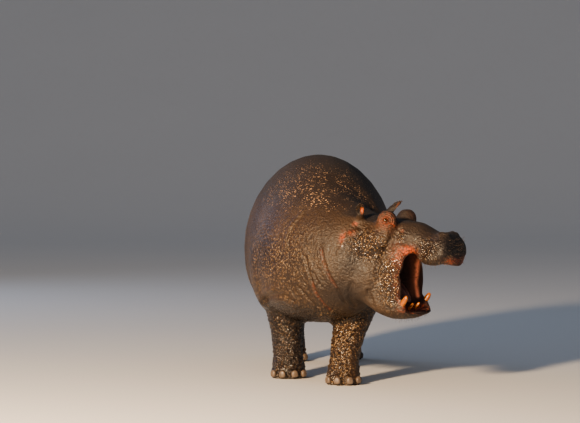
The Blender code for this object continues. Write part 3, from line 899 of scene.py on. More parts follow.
@dataclass
class Hide:
    """The whole skin, as one closed surface over all the nodes of flesh."""

    head: HeadFrame
    plan: PlanLine
    mouth: Mouth = Mouth()
    eyes: tuple = (Eye(Side.RIGHT), Eye(Side.LEFT))
    ears: tuple = (Ear(Side.RIGHT, (0.040, 0.146, 0.945), (0.32, 0.66, 0.68)),
                   Ear(Side.LEFT, (0.063, 0.151, 0.953), (0.66, 0.41, 0.62), flush=0.15))
    voxel: float = 0.005
    overlap: float = 0.0006
    inset: float = 0.0012
    fine_passes: int = 14
    broad_passes: int = 70
    fine_reaches: tuple = (0.062, 0.034)
    toe_cleft: tuple = (0.006, 0.011, 0.062)
    lip_roll: float = 0.0030
    undulation: float = 0.0016
    unevenness: float = 0.0005
    leg_cracks: float = 0.0036
    leg_lumps: float = 0.0042
    neck_lines: float = 0.0006
    pebble_height: float = 0.0009
    sole_drop: float = 0.0035
    thing: bpy.types.Object = field(init=False)

    def build(self, nodes: dict) -> bpy.types.Object:
        """Makes the skin.

        Args:
            nodes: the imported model's objects by name.

        Returns:
            The skin's object.
        """
        self.thing = self.gather(nodes)
        with_modifier(self.thing, "DISPLACE", strength=self.overlap, mid_level=0.0)
        with_modifier(self.thing, "REMESH", mode="VOXEL", voxel_size=self.voxel)
        self.soften()
        self.refine()
        self.model_body()
        self.model_head()
        self.wrinkle()
        self.stand_flat()
        self.thin_out()
        self.mark()
        return smooth_shaded(self.thing)

    def dress(self, mottle: bpy.types.NodeTree) -> None:
        """Gives the skin its finish, in place of the flesh."""
        settle(self.thing, "skin", HideFinish(mottle).build(), *FLESH_NODES)

    def gather(self, nodes: dict) -> bpy.types.Object:
        """Joins copies of the flesh and the eyes into one object.

        Args:
            nodes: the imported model's objects by name.

        Returns:
            The new object.
        """
        mesh = bmesh.new()
        for name in (*FLESH_NODES, "eye_left", "eye_right"):
            mesh.from_mesh(nodes[name].data)
        bmesh.ops.remove_doubles(mesh, verts=mesh.verts, dist=1e-5)
        bmesh.ops.recalc_face_normals(mesh, faces=mesh.faces)
        data = bpy.data.meshes.new("hide")
        mesh.to_mesh(data)
        mesh.free()
        thing = bpy.data.objects.new("hide", data)
        bpy.context.scene.collection.objects.link(thing)
        return thing

    def places(self) -> Places:
        """Measures where the skin's vertices lie.

        Returns:
            Their places.
        """
        points = coordinates(self.thing)
        own, plan = self.head.local(points), self.plan.local(points)
        mirrored = folded(own)
        share = smooth_step(0.78, 1.02, plan[:, 0]) * smooth_step(-0.16, -0.02, own[:, 0])
        eye_gap = np.linalg.norm(mirrored - np.array(self.eyes[0].place), axis=1)
        return Places(points, own, mirrored, plan, folded(plan), share, eye_gap)

    def soften(self) -> None:
        """Smooths the flesh: the trunk broadly, the legs less, the head and ears finely."""
        places = self.places()
        trunk = 1.0 - places.share
        legs = smooth_step(0.34, 0.24, places.plan[:, 2]) * trunk
        tail = smooth_step(-0.935, -0.965, places.plan[:, 0])
        ears = np.maximum.reduce([ear.holds(places.own, 0.02) for ear in self.ears])
        weigh(self.thing, "broad", trunk * (1.0 - 0.45 * legs) * (1.0 - 0.9 * tail))
        weigh(self.thing, "fine", 1.0 - 0.75 * ears)
        for group, passes in (("broad", self.broad_passes), ("fine", self.fine_passes)):
            with_modifier(self.thing, "SMOOTH", factor=0.5, iterations=passes, vertex_group=group)
        self.push(np.full(len(trunk), -self.inset))

    def refine(self) -> None:
        """Splits the skin finer round the eyes and the nostrils."""
        for reach in self.fine_reaches:
            places = self.places()
            nostril_gap = line_distance(places.mirrored, NOSTRIL.line, 0.1)
            select_vertices(self.thing, (places.eye_gap < reach) | (nostril_gap < 0.5 * reach))
            with edit_mode(self.thing):
                bpy.ops.mesh.subdivide(number_cuts=1)
                bpy.ops.mesh.vertices_smooth(factor=0.5, repeat=3)

    def push(self, relief: np.ndarray) -> None:
        """Moves every vertex outwards along its normal, by its own distance."""
        move_to(self.thing, coordinates(self.thing) + relief[:, None] * normals(self.thing))

    def model_body(self) -> None:
        """Models the folds of the neck, the creases round the legs, and the toes."""
        places = self.places()
        relief = sum(furrow.relief(places.plan) for furrow in BODY_FURROWS)
        self.push(relief + self.toe_relief(places.model))

    def toe_relief(self, points: np.ndarray) -> np.ndarray:
        """Finds the relief of the clefts between neighbouring toes.

        Args:
            points: rows of x, y, z in the model's frame.

        Returns:
            How far the skin moves outwards at each.
        """
        depth, width, height = self.toe_cleft
        total = np.zeros(len(points))
        for end in End:
            for side in Side:
                toes = [middle_of(Nail(end, side, number).node) for number in NAIL_ANGLES]
                for one, other in zip(toes, toes[1:]):
                    foot = np.array((one + other) / 2) * (1, 1, 0)
                    line = (foot, foot + np.array([0, 0, height]))
                    total -= depth * ridge(line_distance(points, line, 0.05), width)
        return total

    def model_head(self) -> None:
        """Models the lids, the folds of the face, the nostrils, the lips and the ears."""
        places = self.places()
        own, mirrored = places.own, places.mirrored
        relief = sum(swelling.at(mirrored) for swelling in HEAD_SWELLINGS)
        outside = 1.0 - self.mouth.inside(own)
        relief = relief + outside * sum(furrow.relief(mirrored) for furrow in HEAD_FURROWS)
        relief = relief + NOSTRIL.relief(mirrored)
        relief = relief + self.lip_roll * self.mouth.rim(own) * smooth_step(0.70, 0.60, own[:, 2])
        self.push(relief * places.share)

        for eye in self.eyes:
            points = self.places().own
            self.push(eye.rings(points) * smooth_step(0.05, 0.08, points[:, 0]))
        points = self.places().own
        for pull in LIP_PULLS:
            points = pull.moved(points)
        for eye in self.eyes:
            points = eye.wrap(points)
        walls, pit_shades = np.zeros(len(points)), np.zeros(len(points))
        for ear in self.ears:
            points, wall, pit_shade = ear.hollow(points)
            walls, pit_shades = walls + ear.flush * wall, pit_shades + pit_shade
        paint(self.thing, "flush", walls)
        paint(self.thing, "ear_pit_shade", pit_shades)
        move_to(self.thing, self.head.placed(points))

    def pebbled(self, places: Places) -> np.ndarray:
        """Finds how pebbly the skin is: most on cheeks, muzzle, shoulders and legs.

        Args:
            places: where the vertices lie.

        Returns:
            A share for each, from 0 to 1.
        """
        on_head = places.share * strongest(PEBBLED_HEAD, places.mirrored)
        legs = smooth_step(0.52, 0.34, places.plan[:, 2]) * (1.0 - places.share)
        shoulder = PEBBLED_SHOULDER.at(places.beside)
        return np.clip(0.12 + on_head + shoulder + 0.75 * legs, 0.0, 1.0)

    def wrinkle(self) -> None:
        """Roughens the skin: slow undulations, wrinkled legs and neck, and wet pebbles."""
        places = self.places()
        points, plan, trunk = places.model, places.plan, 1.0 - places.share
        lining = self.mouth.inside(places.own) * places.share
        calm = (1.0 - lining) * smooth_step(0.024, 0.045, places.eye_gap)
        relief = self.undulation * soft_noise(points, 0.15, 3) * trunk
        relief += self.unevenness * soft_noise(points, 0.055, 5)

        legs = smooth_step(0.50, 0.30, plan[:, 2]) * trunk
        stretched = points * np.array([1.0, 1.0, 1.9])
        stretched = stretched + 0.012 * soft_noise(points, 0.05, 11)[:, None]
        first, second = cells_noise(stretched, 0.040, 21)
        relief -= self.leg_cracks * legs * ridge(second - first, 0.18)
        lumps = cells_noise(stretched, 0.026, 23)[0]
        relief += self.leg_lumps * legs * (smooth_step(0.80, 0.20, lumps) - 0.4)

        neck = smooth_step(0.45, 0.70, plan[:, 0]) * smooth_step(1.10, 0.95, plan[:, 0])
        first, second = cells_noise(plan * np.array([1.8, 1.0, 1.0]), 0.050, 31)
        relief -= self.neck_lines * neck * ridge(second - first, 0.14)

        first = cells_noise(points, 0.0165, 41)[0]
        pebbles = smooth_step(0.75, 0.15, first) - 0.35
        relief += self.pebble_height * self.pebbled(places) * pebbles
        self.push(relief * calm)

    def stand_flat(self) -> None:
        """Sets the soles flat on the floor."""
        points = coordinates(self.thing)
        foot = smooth_step(0.030, 0.006, points[:, 2])
        points[:, 2] = np.maximum(points[:, 2] - self.sole_drop * foot, 0.0)
        move_to(self.thing, points)

    def thin_out(self) -> None:
        """Merges faces where the skin is plain: most at the rear, least on the face."""
        for region in Region:
            select_vertices(self.thing, self.lies_in(region))
            with edit_mode(self.thing):
                bpy.ops.mesh.decimate(ratio=region.value)
        with_modifier(self.thing, "TRIANGULATE")
        points = coordinates(self.thing)
        points[:, 2] = np.maximum(points[:, 2], 0.0)
        move_to(self.thing, points)

    def lies_in(self, region: Region) -> np.ndarray:
        """Finds the vertices of a stretch of the hide, with the ears and lids left out.

        Args:
            region: the stretch.

        Returns:
            True for each vertex that lies in it.
        """
        places = self.places()
        head = places.share >= 0.5
        if region is Region.HEAD:
            return head & (places.eye_gap >= 0.07) & (places.own[:, 2] < 0.96)
        behind = places.plan[:, 0] < 0.3
        return ~head & (behind if region is Region.REAR else ~behind)

    def mark(self) -> None:
        """Paints the masks of the skin's colours, its painted shade and painted light, and its
        wetness.
        """
        places = self.places()
        up = normals(self.thing)[:, 2]
        lining = self.mouth.inside(places.own) * places.share
        # Painted light on the far inner cheek, over its pink.
        lit_cheek_mask = 1.5 * ridge(line_distance(places.own, LIT_CHEEK_STRIP, 0.05), 0.0080)
        lit_cheek_mask = np.minimum(lit_cheek_mask + LIT_INNER_CHEEK.at(places.own), 1.0) * places.share
        scurf = smooth_step(0.10, 0.45, up) * smooth_step(0.93, 1.02, places.plan[:, 2])
        scurf = scurf * smooth_step(0.0, 0.80, places.plan[:, 0]) * (1.0 - 0.8 * places.share)
        paint(self.thing, "pink", self.pink_mask(places, lining))
        paint(self.thing, "lit_inner_cheek", lit_cheek_mask)
        paint(self.thing, "dark", self.dark_mask(places, up))
        # The mouth's lining, which the finish paints in shade.
        paint(self.thing, "lining", lining)
        paint(self.thing, "pebbled", self.pebbled(places) * (1.0 - lining))
        paint(self.thing, "flakes", scurf)

    def pink_mask(self, places: Places, lining: np.ndarray) -> np.ndarray:
        """Finds where the skin is pink: round the eyes, in folds, behind the ears, on the lips.

        Args:
            places: where the vertices lie.
            lining: the mask of the mouth's lining.

        Returns:
            A share for each vertex, from 0 to 1.
        """
        own, mirrored, plan, share = places.own, places.mirrored, places.plan, places.share
        throat = 0.65 * ridge(line_distance(plan, THROAT_CREASE.line, 0.03), 0.0040)
        throat *= smooth_step(0.53, 0.60, plan[:, 2]) * smooth_step(0.84, 0.76, plan[:, 2])
        neck = 0.22 * ridge(line_distance(plan, NECK_CREASE.line, 0.03), 0.0045)
        neck *= smooth_step(0.60, 0.56, plan[:, 2])
        tear = 0.6 * ridge(line_distance(mirrored, TEAR_FOLD.line, 0.04), 0.0065)
        lower_lip = 0.54 * self.mouth.rim(own, 1.20, 0.06) * smooth_step(0.52, 0.46, own[:, 2])
        lips = 0.12 * self.mouth.rim(own) * (1.0 - lining)
        on_head = np.maximum.reduce([
            0.30 * EYE_SURROUND.at(mirrored), strongest(PINK_HEAD, mirrored), tear, lower_lip, lips,
        ])
        return np.maximum.reduce([on_head * share, strongest(PINK_SPOTS, own), throat, neck])

    def dark_mask(self, places: Places, up: np.ndarray) -> np.ndarray:
        """Finds where the skin is darker: the wet near leg, lids, ears, nape and eye surrounds, the
        muzzle partly dark and partly painted shade, and painted shade on crown, cheek valley, jaw,
        neck and throat.

        Args:
            places: where the vertices lie.
            up: how far each vertex faces upwards.

        Returns:
            A share for each vertex, from 0 to 1.
        """
        own, mirrored, plan, share = places.own, places.mirrored, places.plan, places.share
        # The muzzle's end and the snout's side are darker: partly dark skin, partly painted shade
        # where they face away from the key light.
        ragged = own[:, 0] + 0.012 * soft_noise(own, 0.018, 61)
        muzzle = 0.42 * smooth_step(0.465, 0.560, ragged) + 0.58 * smooth_step(0.16, 0.34, ragged)
        muzzle = muzzle * (1.0 - LIP_FRONT.at(mirrored))
        eye = EYE_SURROUND.at(mirrored)
        # Painted shade on the crown and the top of the snout, and the painted shadow of the near
        # orbit on the far one.
        crown_shade = smooth_step(0.875, 0.925, own[:, 2]) * smooth_step(0.150, 0.115, mirrored[:, 1])
        crown_shade = np.maximum(crown_shade, smooth_step(0.925, 0.955, own[:, 2]) * (1.0 - eye)) * share
        crown_shade = np.maximum(crown_shade, FAR_ORBIT_SHADOW.at(own))
        # Painted shade along the cheek's valley.
        valley_shade = 0.28 * ridge(line_distance(mirrored, CHEEK_VALLEY.line, 0.08), 0.020)
        # Darker where the nape and the back face up.
        nape = smooth_step(0.10, 0.60, up) * smooth_step(0.90, 1.04, plan[:, 2]) * (1.0 - share)
        lids = sum(ridge(np.linalg.norm(own - ball.centre(), axis=1) - 0.0225, 0.0024)
                   * smooth_step(0.0, 0.012, (own - ball.centre()) @ ball.axes()[2])
                   for ball in self.eyes)
        ears = sum(smooth_step(0.02, 0.05, ear.local(own)[:, 2])
                   * mound(ear.local(own), (0.0, 0.0, 0.055), (0.05, 0.06, 0.08))
                   for ear in self.ears)
        wet_leg = smooth_step(0.50, 0.40, plan[:, 2]) * smooth_step(0.0, 0.2, plan[:, 0])
        wet_leg = wet_leg * smooth_step(-0.17, -0.21, places.model[:, 1])
        on_head = np.maximum.reduce([muzzle, valley_shade, 0.40 * eye, JAW_SHADE.at(mirrored)])
        return np.maximum.reduce([
            on_head * share, 0.85 * crown_shade, 0.50 * nape, 0.75 * lids, 0.6 * ears,
            strongest(NECK_SHADE, places.beside), 0.70 * wet_leg,
        ])


# ---- Finishes ----
class Graph:
    """Builds the nodes of one material or node group."""

    def __init__(self, tree: bpy.types.NodeTree) -> None:
        """Starts with the tree's nodes as they are."""
        self.tree = tree

    def put(self, socket: bpy.types.NodeSocket, value: object) -> None:
        """Feeds one input.

        Args:
            socket: the input.
            value: a socket to link, or a value.
        """
        if isinstance(value, bpy.types.NodeSocket):
            self.tree.links.new(value, socket)
        else:
            socket.default_value = value

    def node(self, kind: str, inputs: dict | None = None, **settings: object) -> bpy.types.Node:
        """Adds a node.

        Args:
            kind: the node's type.
            inputs: a value, or a socket to link, for each input's name or number.
            **settings: its other settings.

        Returns:
            The node.
        """
        made = self.tree.nodes.new(kind)
        for name, value in settings.items():
            setattr(made, name, value)
        for name, value in (inputs or {}).items():
            self.put(made.inputs[name], value)
        return made

    def mask(self, name: str) -> bpy.types.NodeSocket:
        """A mask that is painted on the piece."""
        return self.node("ShaderNodeAttribute", attribute_name=name).outputs["Fac"]

    def position(self) -> bpy.types.NodeSocket:
        """The place on the piece, in metres."""
        return self.node("ShaderNodeTexCoord").outputs["Object"]

    def blend(self, share: object, one: object, other: object) -> bpy.types.NodeSocket:
        """Mixes two colours.

        Args:
            share: how much of the other colour there is, from 0 to 1.
            one: a colour, or a socket that gives it.
            other: another.

        Returns:
            The mixed colour.
        """
        made = self.node("ShaderNodeMix", {0: share}, data_type="RGBA")
        for number, colour in ((6, one), (7, other)):
            self.put(made.inputs[number], (*colour, 1.0) if isinstance(colour, tuple) else colour)
        return made.outputs[2]

    def reckon(self, kind: str, one: object, other: object) -> bpy.types.NodeSocket:
        """The result of one operation on two numbers."""
        return self.node("ShaderNodeMath", {0: one, 1: other}, operation=kind).outputs[0]

    def times(self, one: object, other: object) -> bpy.types.NodeSocket:
        """The product of two numbers."""
        return self.reckon("MULTIPLY", one, other)

    def plus(self, one: object, other: object) -> bpy.types.NodeSocket:
        """The sum of two numbers."""
        return self.reckon("ADD", one, other)

    def vector(self, kind: str, one: object, other: object) -> bpy.types.Node:
        """The node of one operation on two vectors."""
        return self.node("ShaderNodeVectorMath", {0: one, 1: other}, operation=kind)

    def rise(self, value: object, low: float, high: float, least: float = 0.0,
             most: float = 1.0) -> bpy.types.NodeSocket:
        """Makes a smooth rise.

        Args:
            value: what it follows.
            low: the value where the rise starts.
            high: the value where it ends.
            least: the result at the start.
            most: the result at the end.

        Returns:
            The result.
        """
        made = self.node("ShaderNodeMapRange", {"Value": value, "From Min": low, "From Max": high,
                                                "To Min": least, "To Max": most},
                         interpolation_type="SMOOTHSTEP")
        return made.outputs["Result"]

    def noise(self, place: object, scale: object, detail: float = 3.0,
              result: str = "Fac") -> bpy.types.NodeSocket:
        """Makes cloudy noise.

        Args:
            place: where it is read.
            scale: how fine it is.
            detail: how many finer layers it has.
            result: which of the node's outputs is wanted.

        Returns:
            The noise.
        """
        made = self.node("ShaderNodeTexNoise", {"Vector": place, "Scale": scale, "Detail": detail})
        return made.outputs[result]

    def cells(self, place: object, scale: object, feature: str = "F1") -> bpy.types.NodeSocket:
        """Makes distances to the middles of scattered cells.

        Args:
            place: where they are read.
            scale: how fine they are.
            feature: whether the cells meet sharply or smoothly.

        Returns:
            The distance.
        """
        made = self.node("ShaderNodeTexVoronoi", {"Vector": place, "Scale": scale},
                         feature=feature)
        return made.outputs["Distance"]


class Effect(Graph):
    """A shader node group that more than one material uses, read at a place on the piece."""

    def __init__(self, name: str, scales: dict, masks: tuple) -> None:
        """Starts the group.

        Args:
            name: the group's name.
            scales: the default of each of its numbers by name.
            masks: the names of what it gives.
        """
        super().__init__(bpy.data.node_groups.new(name, "ShaderNodeTree"))
        self.socket("Place", "INPUT", "NodeSocketVector")
        for label, default in scales.items():
            self.socket(label, "INPUT", "NodeSocketFloat").default_value = default
        for label in masks:
            self.socket(label, "OUTPUT", "NodeSocketFloat")
        self.given = self.node("NodeGroupInput").outputs
        self.result = self.node("NodeGroupOutput").inputs

    def socket(self, label: str, way: str, kind: str) -> bpy.types.NodeTreeInterfaceSocket:
        """A new socket of the group."""
        return self.tree.interface.new_socket(name=label, in_out=way, socket_type=kind)


def skin_mottle() -> bpy.types.NodeTree:
    """Makes the group of blotches, grain and wet pebbles that all soft skin shares.

    Returns:
        The group.
    """
    graph = Effect("skin_mottle", {"Blotch Scale": 5.0, "Pebble Scale": 84.0},
                   ("Blotches", "Grain", "Pebbles"))
    given, result = graph.given, graph.result
    blotches = graph.noise(given["Place"], given["Blotch Scale"], 5.0)
    grain = graph.noise(given["Place"], 260.0)
    warp = graph.noise(given["Place"], 45.0, 2.0, "Color")
    bent = graph.vector("MULTIPLY", warp, (0.005, 0.005, 0.005)).outputs[0]
    place = graph.vector("ADD", given["Place"], bent).outputs[0]
    large = graph.cells(place, given["Pebble Scale"], "SMOOTH_F1")
    small = graph.cells(place, graph.times(given["Pebble Scale"], 2.3))
    pebbles = graph.rise(graph.plus(large, graph.times(small, 0.45)), 1.05, 0.15)
    for label, value in (("Blotches", blotches), ("Grain", grain), ("Pebbles", pebbles)):
        graph.put(result[label], value)
    return graph.tree


def horn_streaks() -> bpy.types.NodeTree:
    """Makes the group of growth streaks and stains that ivory and nails share.

    Returns:
        The group.
    """
    graph = Effect("horn_streaks", {"Streak Scale": 60.0}, ("Streaks", "Stains"))
    drawn_out = graph.vector("MULTIPLY", graph.given["Place"], (1.0, 1.0, 0.22)).outputs[0]
    streaks = graph.noise(drawn_out, graph.given["Streak Scale"], 4.0)
    graph.put(graph.result["Streaks"], streaks)
    graph.put(graph.result["Stains"], graph.noise(graph.given["Place"], 38.0, 4.0))
    return graph.tree


class Surface(Graph):
    """The nodes of one material, round its shader."""

    def __init__(self, name: str) -> None:
        """Starts the material with its plain shader.

        Args:
            name: the material's name.
        """
        self.material = bpy.data.materials.new(name)
        self.material.use_nodes = True
        super().__init__(self.material.node_tree)
        self.shader = self.tree.nodes["Principled BSDF"]

    def effect(self, group: bpy.types.NodeTree, place: bpy.types.NodeSocket,
               scales: dict | None = None) -> list[bpy.types.NodeSocket]:
        """Places a shared effect in the material.

        Args:
            group: the effect's node group.
            place: where it is read.
            scales: the material's own values for its numbers, by name.

        Returns:
            What it gives.
        """
        inputs = {"Place": place, **(scales or {})}
        return list(self.node("ShaderNodeGroup", inputs, node_tree=group).outputs)

    def feed(self, name: str, value: object) -> None:
        """Feeds one of the shader's sockets by its name."""
        self.put(self.shader.inputs[name], value)

    def raise_by(self, height: object, distance: float, strength: float = 1.0) -> None:
        """Raises the surface by a height.

        Args:
            height: the height, from 0 to 1.
            distance: how far 1 stands out, in metres.
            strength: the share of it that shows.
        """
        made = self.node("ShaderNodeBump", {"Height": height, "Strength": strength,
                                            "Distance": distance})
        self.feed("Normal", made.outputs["Normal"])


@dataclass(frozen=True)
class HideFinish:
    """Wet grey-brown hide, pink where it is thin, with painted shade on the crown and in the mouth,
    the muzzle's end partly dark and partly painted shade, and painted glints on its pebbles.
    """

    mottle: bpy.types.NodeTree
    brown: tuple = (0.038, 0.0185, 0.0075)
    ash: tuple = (0.062, 0.035, 0.018)
    # Near-black: for dark skin and for painted shade.
    dark: tuple = (0.013, 0.010, 0.010)
    pink: tuple = (0.48, 0.100, 0.042)
    flush: tuple = (0.55, 0.130, 0.040)
    # Bright pink-orange of the far inner cheek: its pink, lightened as painted light.
    raw: tuple = (1.0, 0.36, 0.22)
    # Near-black mouth lining: painted shade inside the open mouth.
    lining: tuple = (0.030, 0.011, 0.009)
    mud: tuple = (0.50, 0.31, 0.19)
    # Pale colour of the pebbles' crests: painted glints.
    painted_glint: tuple = (0.460, 0.310, 0.175)
    dull: tuple = (0.78, 0.90)
    wetness: float = 0.72
    glossiest: float = 0.12
    specular: float = 0.56
    pebble_height: float = 0.0045

    def build(self) -> bpy.types.Material:
        """Makes the material.

        Returns:
            The material.
        """
        graph = Surface("wet_hide")
        place = graph.position()
        blotches, grain, pebbles = graph.effect(self.mottle, place)
        pebbled = graph.mask("pebbled")
        flakes = self.flakes(graph, place)
        colour = self.plain_colour(graph, blotches, pebbles, pebbled)
        colour = self.flesh_colour(graph, place, blotches, colour)
        graph.feed("Base Color", graph.blend(flakes, colour, self.mud))

        crust = graph.times(flakes, 0.30)
        rough = graph.rise(grain, 0.3, 0.7, *self.dull)
        rough = graph.reckon("SUBTRACT", rough, graph.times(pebbled, self.wetness))
        graph.feed("Roughness", graph.plus(graph.reckon("MAXIMUM", rough, self.glossiest), crust))
        graph.feed("Specular IOR Level", self.specular)

        height = graph.times(pebbles, graph.rise(pebbled, 0.0, 1.0, 0.30, 1.0))
        height = graph.plus(graph.plus(height, graph.times(grain, 0.07)), crust)
        graph.raise_by(height, self.pebble_height)
        return graph.material

    def plain_colour(self, graph: Surface, blotches: object, pebbles: object,
                     pebbled: object) -> bpy.types.NodeSocket:
        """Mixes the skin's browns, with painted shade in the crevices and painted glints on the
        crests where it is pebbly, and then lays on the dark mask.

        Args:
            graph: the material's nodes.
            blotches: the shared blotches.
            pebbles: the shared pebbles.
            pebbled: the mask of pebbly skin.

        Returns:
            The colour.
        """
        colour = graph.blend(graph.rise(blotches, 0.30, 0.70), self.brown, self.ash)
        # Painted shade in the crevices between the pebbles.
        crevice_shade = graph.times(graph.rise(pebbles, 0.50, 0.05), pebbled)
        colour = graph.blend(graph.times(crevice_shade, 0.90), colour, self.dark)
        # Painted highlight: the pebbles' crests are lightened to stand for wet glints.
        glint_share = graph.times(graph.rise(pebbles, 0.66, 0.92),
                             graph.rise(pebbled, 0.35, 1.0, 0.0, 0.75))
        colour = graph.blend(glint_share, colour, self.painted_glint)
        # The dark mask: partly dark skin, partly painted shade.
        dark = graph.times(graph.mask("dark"), graph.rise(blotches, 0.30, 0.55, 0.7, 1.0))
        return graph.blend(dark, colour, self.dark)

    def flesh_colour(self, graph: Surface, place: object, blotches: object,
                     colour: object) -> bpy.types.NodeSocket:
        """Lays the mouth's lining in painted shade, the pinks, the far inner cheek's pink with
        painted light and the ears' pits in painted shade over the skin's colour.

        Args:
            graph: the material's nodes.
            place: where patterns are read.
            blotches: the shared blotches.
            colour: the skin's colour so far, with its painted shade and glints.

        Returns:
            The colour.
        """
        patchy = graph.rise(graph.noise(place, 85.0), 0.42, 0.55, 0.15, 1.0)
        cheek_blotches = graph.rise(blotches, 0.3, 0.5, 0.7, 1.0)
        for share, other in (
            # Painted shade: the mouth's lining darkened.
            (graph.mask("lining"), self.lining),
            (graph.times(graph.mask("pink"), patchy), self.pink),
            (graph.mask("flush"), self.flush),
            # Painted light on the far inner cheek, over its pink.
            (graph.times(graph.mask("lit_inner_cheek"), cheek_blotches), self.raw),
            # Painted shade in the ears' pits.
            (graph.mask("ear_pit_shade"), self.dark),
        ):
            colour = graph.blend(share, colour, other)
        return colour

    def flakes(self, graph: Surface, place: object) -> bpy.types.NodeSocket:
        """Scatters flakes of dried mud in drifts on the upper back.

        Args:
            graph: the material's nodes.
            place: where patterns are read.

        Returns:
            The mask of the flakes.
        """
        stretched = graph.vector("MULTIPLY", place, (1.0, 1.0, 2.4)).outputs[0]
        scurf = graph.mask("flakes")
        specks = graph.plus(graph.noise(stretched, 78.0), graph.times(scurf, 0.085))
        drifts = graph.rise(graph.noise(place, 14.0, 2.0), 0.36, 0.60)
        where = graph.times(drifts, graph.rise(scurf, 0.0, 0.4))
        return graph.times(graph.rise(specks, 0.670, 0.715), where)


@dataclass(frozen=True)
class HornFinish:
    """Ivory or nail: growth streaks and stains on a smooth hard surface."""

    name: str
    streaks: bpy.types.NodeTree
    light: tuple
    deep: tuple
    roughness: float
    coat: float
    coat_roughness: float = 0.12
    streak_height: float = 0.0008

    def build(self) -> bpy.types.Material:
        """Makes the material.

        Returns:
            The material.
        """
        graph = Surface(self.name)
        streaks, stains = graph.effect(self.streaks, graph.position())
        share = graph.plus(graph.rise(streaks, 0.42, 0.70, 0.0, 0.6),
                           graph.rise(stains, 0.50, 0.72, 0.0, 0.5))
        graph.feed("Base Color", graph.blend(share, self.light, self.deep))
        graph.feed("Roughness", graph.rise(stains, 0.3, 0.7, self.roughness - 0.08,
                                           self.roughness + 0.12))
        graph.feed("Coat Weight", self.coat)
        graph.feed("Coat Roughness", self.coat_roughness)
        graph.raise_by(streaks, self.streak_height, 0.35)
        return graph.material


@dataclass(frozen=True)
class TongueFinish:
    """Moist pink tongue with fine papillae."""

    mottle: bpy.types.NodeTree
    light: tuple = (0.13, 0.052, 0.042)
    deep: tuple = (0.05, 0.018, 0.015)
    blotch_scale: float = 22.0
    papilla_scale: float = 300.0
    papilla_height: float = 0.0008

    def build(self) -> bpy.types.Material:
        """Makes the material.

        Returns:
            The material.
        """
        graph = Surface("moist_tongue")
        scales = {"Blotch Scale": self.blotch_scale, "Pebble Scale": self.papilla_scale}
        blotches, grain, papillae = graph.effect(self.mottle, graph.position(), scales)
        share = graph.rise(blotches, 0.35, 0.65)
        graph.feed("Base Color", graph.blend(share, self.light, self.deep))
        graph.feed("Roughness", graph.rise(grain, 0.3, 0.7, 0.22, 0.40))
        graph.raise_by(papillae, self.papilla_height, 0.5)
        return graph.material


@dataclass(frozen=True)
class EyeFinish:
    """A dark brown iris round a wide level pupil, in a brownish pink white."""

    eye: Eye
    head: HeadFrame
    iris: tuple = (0.040, 0.016, 0.008)
    white: tuple = (0.13, 0.050, 0.035)
    pupil: tuple = (0.004, 0.003, 0.003)
    iris_edge: tuple = (0.0120, 0.0136)
    pupil_edge: tuple = (0.0062, 0.0050)
    pupil_stretch: tuple = (0.72, 1.30)
    specular: float = 0.12
    coat: float = 0.06

    def build(self) -> bpy.types.Material:
        """Makes the material.

        Returns:
            The material.
        """
        graph = Surface(f"eyeball_{self.eye.side.word}")
        ahead, up = (Vector(row) for row in self.head.turned(self.eye.axes()[:2]))
        middle = Vector(self.head.placed(self.eye.centre()))
        away = graph.vector("SUBTRACT", graph.position(), middle).outputs[0]
        reach = [graph.vector("DOT_PRODUCT", away, axis).outputs["Value"] for axis in (ahead, up)]
        spread = self.radius_of(graph, *reach)
        pupil = self.radius_of(graph, *(graph.times(value, stretch)
                                        for value, stretch in zip(reach, self.pupil_stretch)))
        flecks = graph.noise(away, 420.0, 4.0)
        bright = tuple(2.2 * part for part in self.iris)
        colour = graph.blend(graph.rise(flecks, 0.35, 0.65), self.iris, bright)
        colour = graph.blend(graph.rise(spread, *self.iris_edge), colour, self.white)
        colour = graph.blend(graph.rise(pupil, *self.pupil_edge), colour, self.pupil)
        graph.feed("Base Color", colour)
        graph.feed("Roughness", graph.rise(flecks, 0.3, 0.7, 0.05, 0.10))
        graph.feed("Specular IOR Level", self.specular)
        graph.feed("Coat Weight", self.coat)
        graph.feed("Coat Roughness", 0.06)
        return graph.material

    def radius_of(self, graph: Surface, wide: object, tall: object) -> bpy.types.NodeSocket:
        """The distance that two lengths at right angles make."""
        squares = (graph.reckon("POWER", length, 2.0) for length in (wide, tall))
        return graph.reckon("SQRT", graph.plus(*squares), 0.0)


@dataclass(frozen=True)
class BristleFinish:
    """Stiff dark bristles, paler towards some of their roots."""

    colour: tuple = (0.085, 0.055, 0.038)
    pale: tuple = (0.30, 0.20, 0.13)
    roughness: float = 0.38

    def build(self) -> bpy.types.Material:
        """Makes the material.

        Returns:
            The material.
        """
        graph = Surface("stiff_bristle")
        share = graph.rise(graph.noise(graph.position(), 70.0), 0.45, 0.75)
        graph.feed("Base Color", graph.blend(share, self.colour, self.pale))
        graph.feed("Roughness", self.roughness)
        return graph.material


@dataclass(frozen=True)
class FloorFinish:
    """Plain pale matt floor."""

    colour: tuple = (0.78, 0.77, 0.76)
    darkening: float = 0.97
    roughness: float = 0.85

    def build(self) -> bpy.types.Material:
        """Makes the material.

        Returns:
            The material.
        """
        graph = Surface("pale_floor")
        darker = tuple(self.darkening * part for part in self.colour)
        graph.feed("Base Color", graph.blend(graph.noise(graph.position(), 0.6), self.colour,
                                             darker))
        graph.feed("Roughness", self.roughness)
        return graph.material


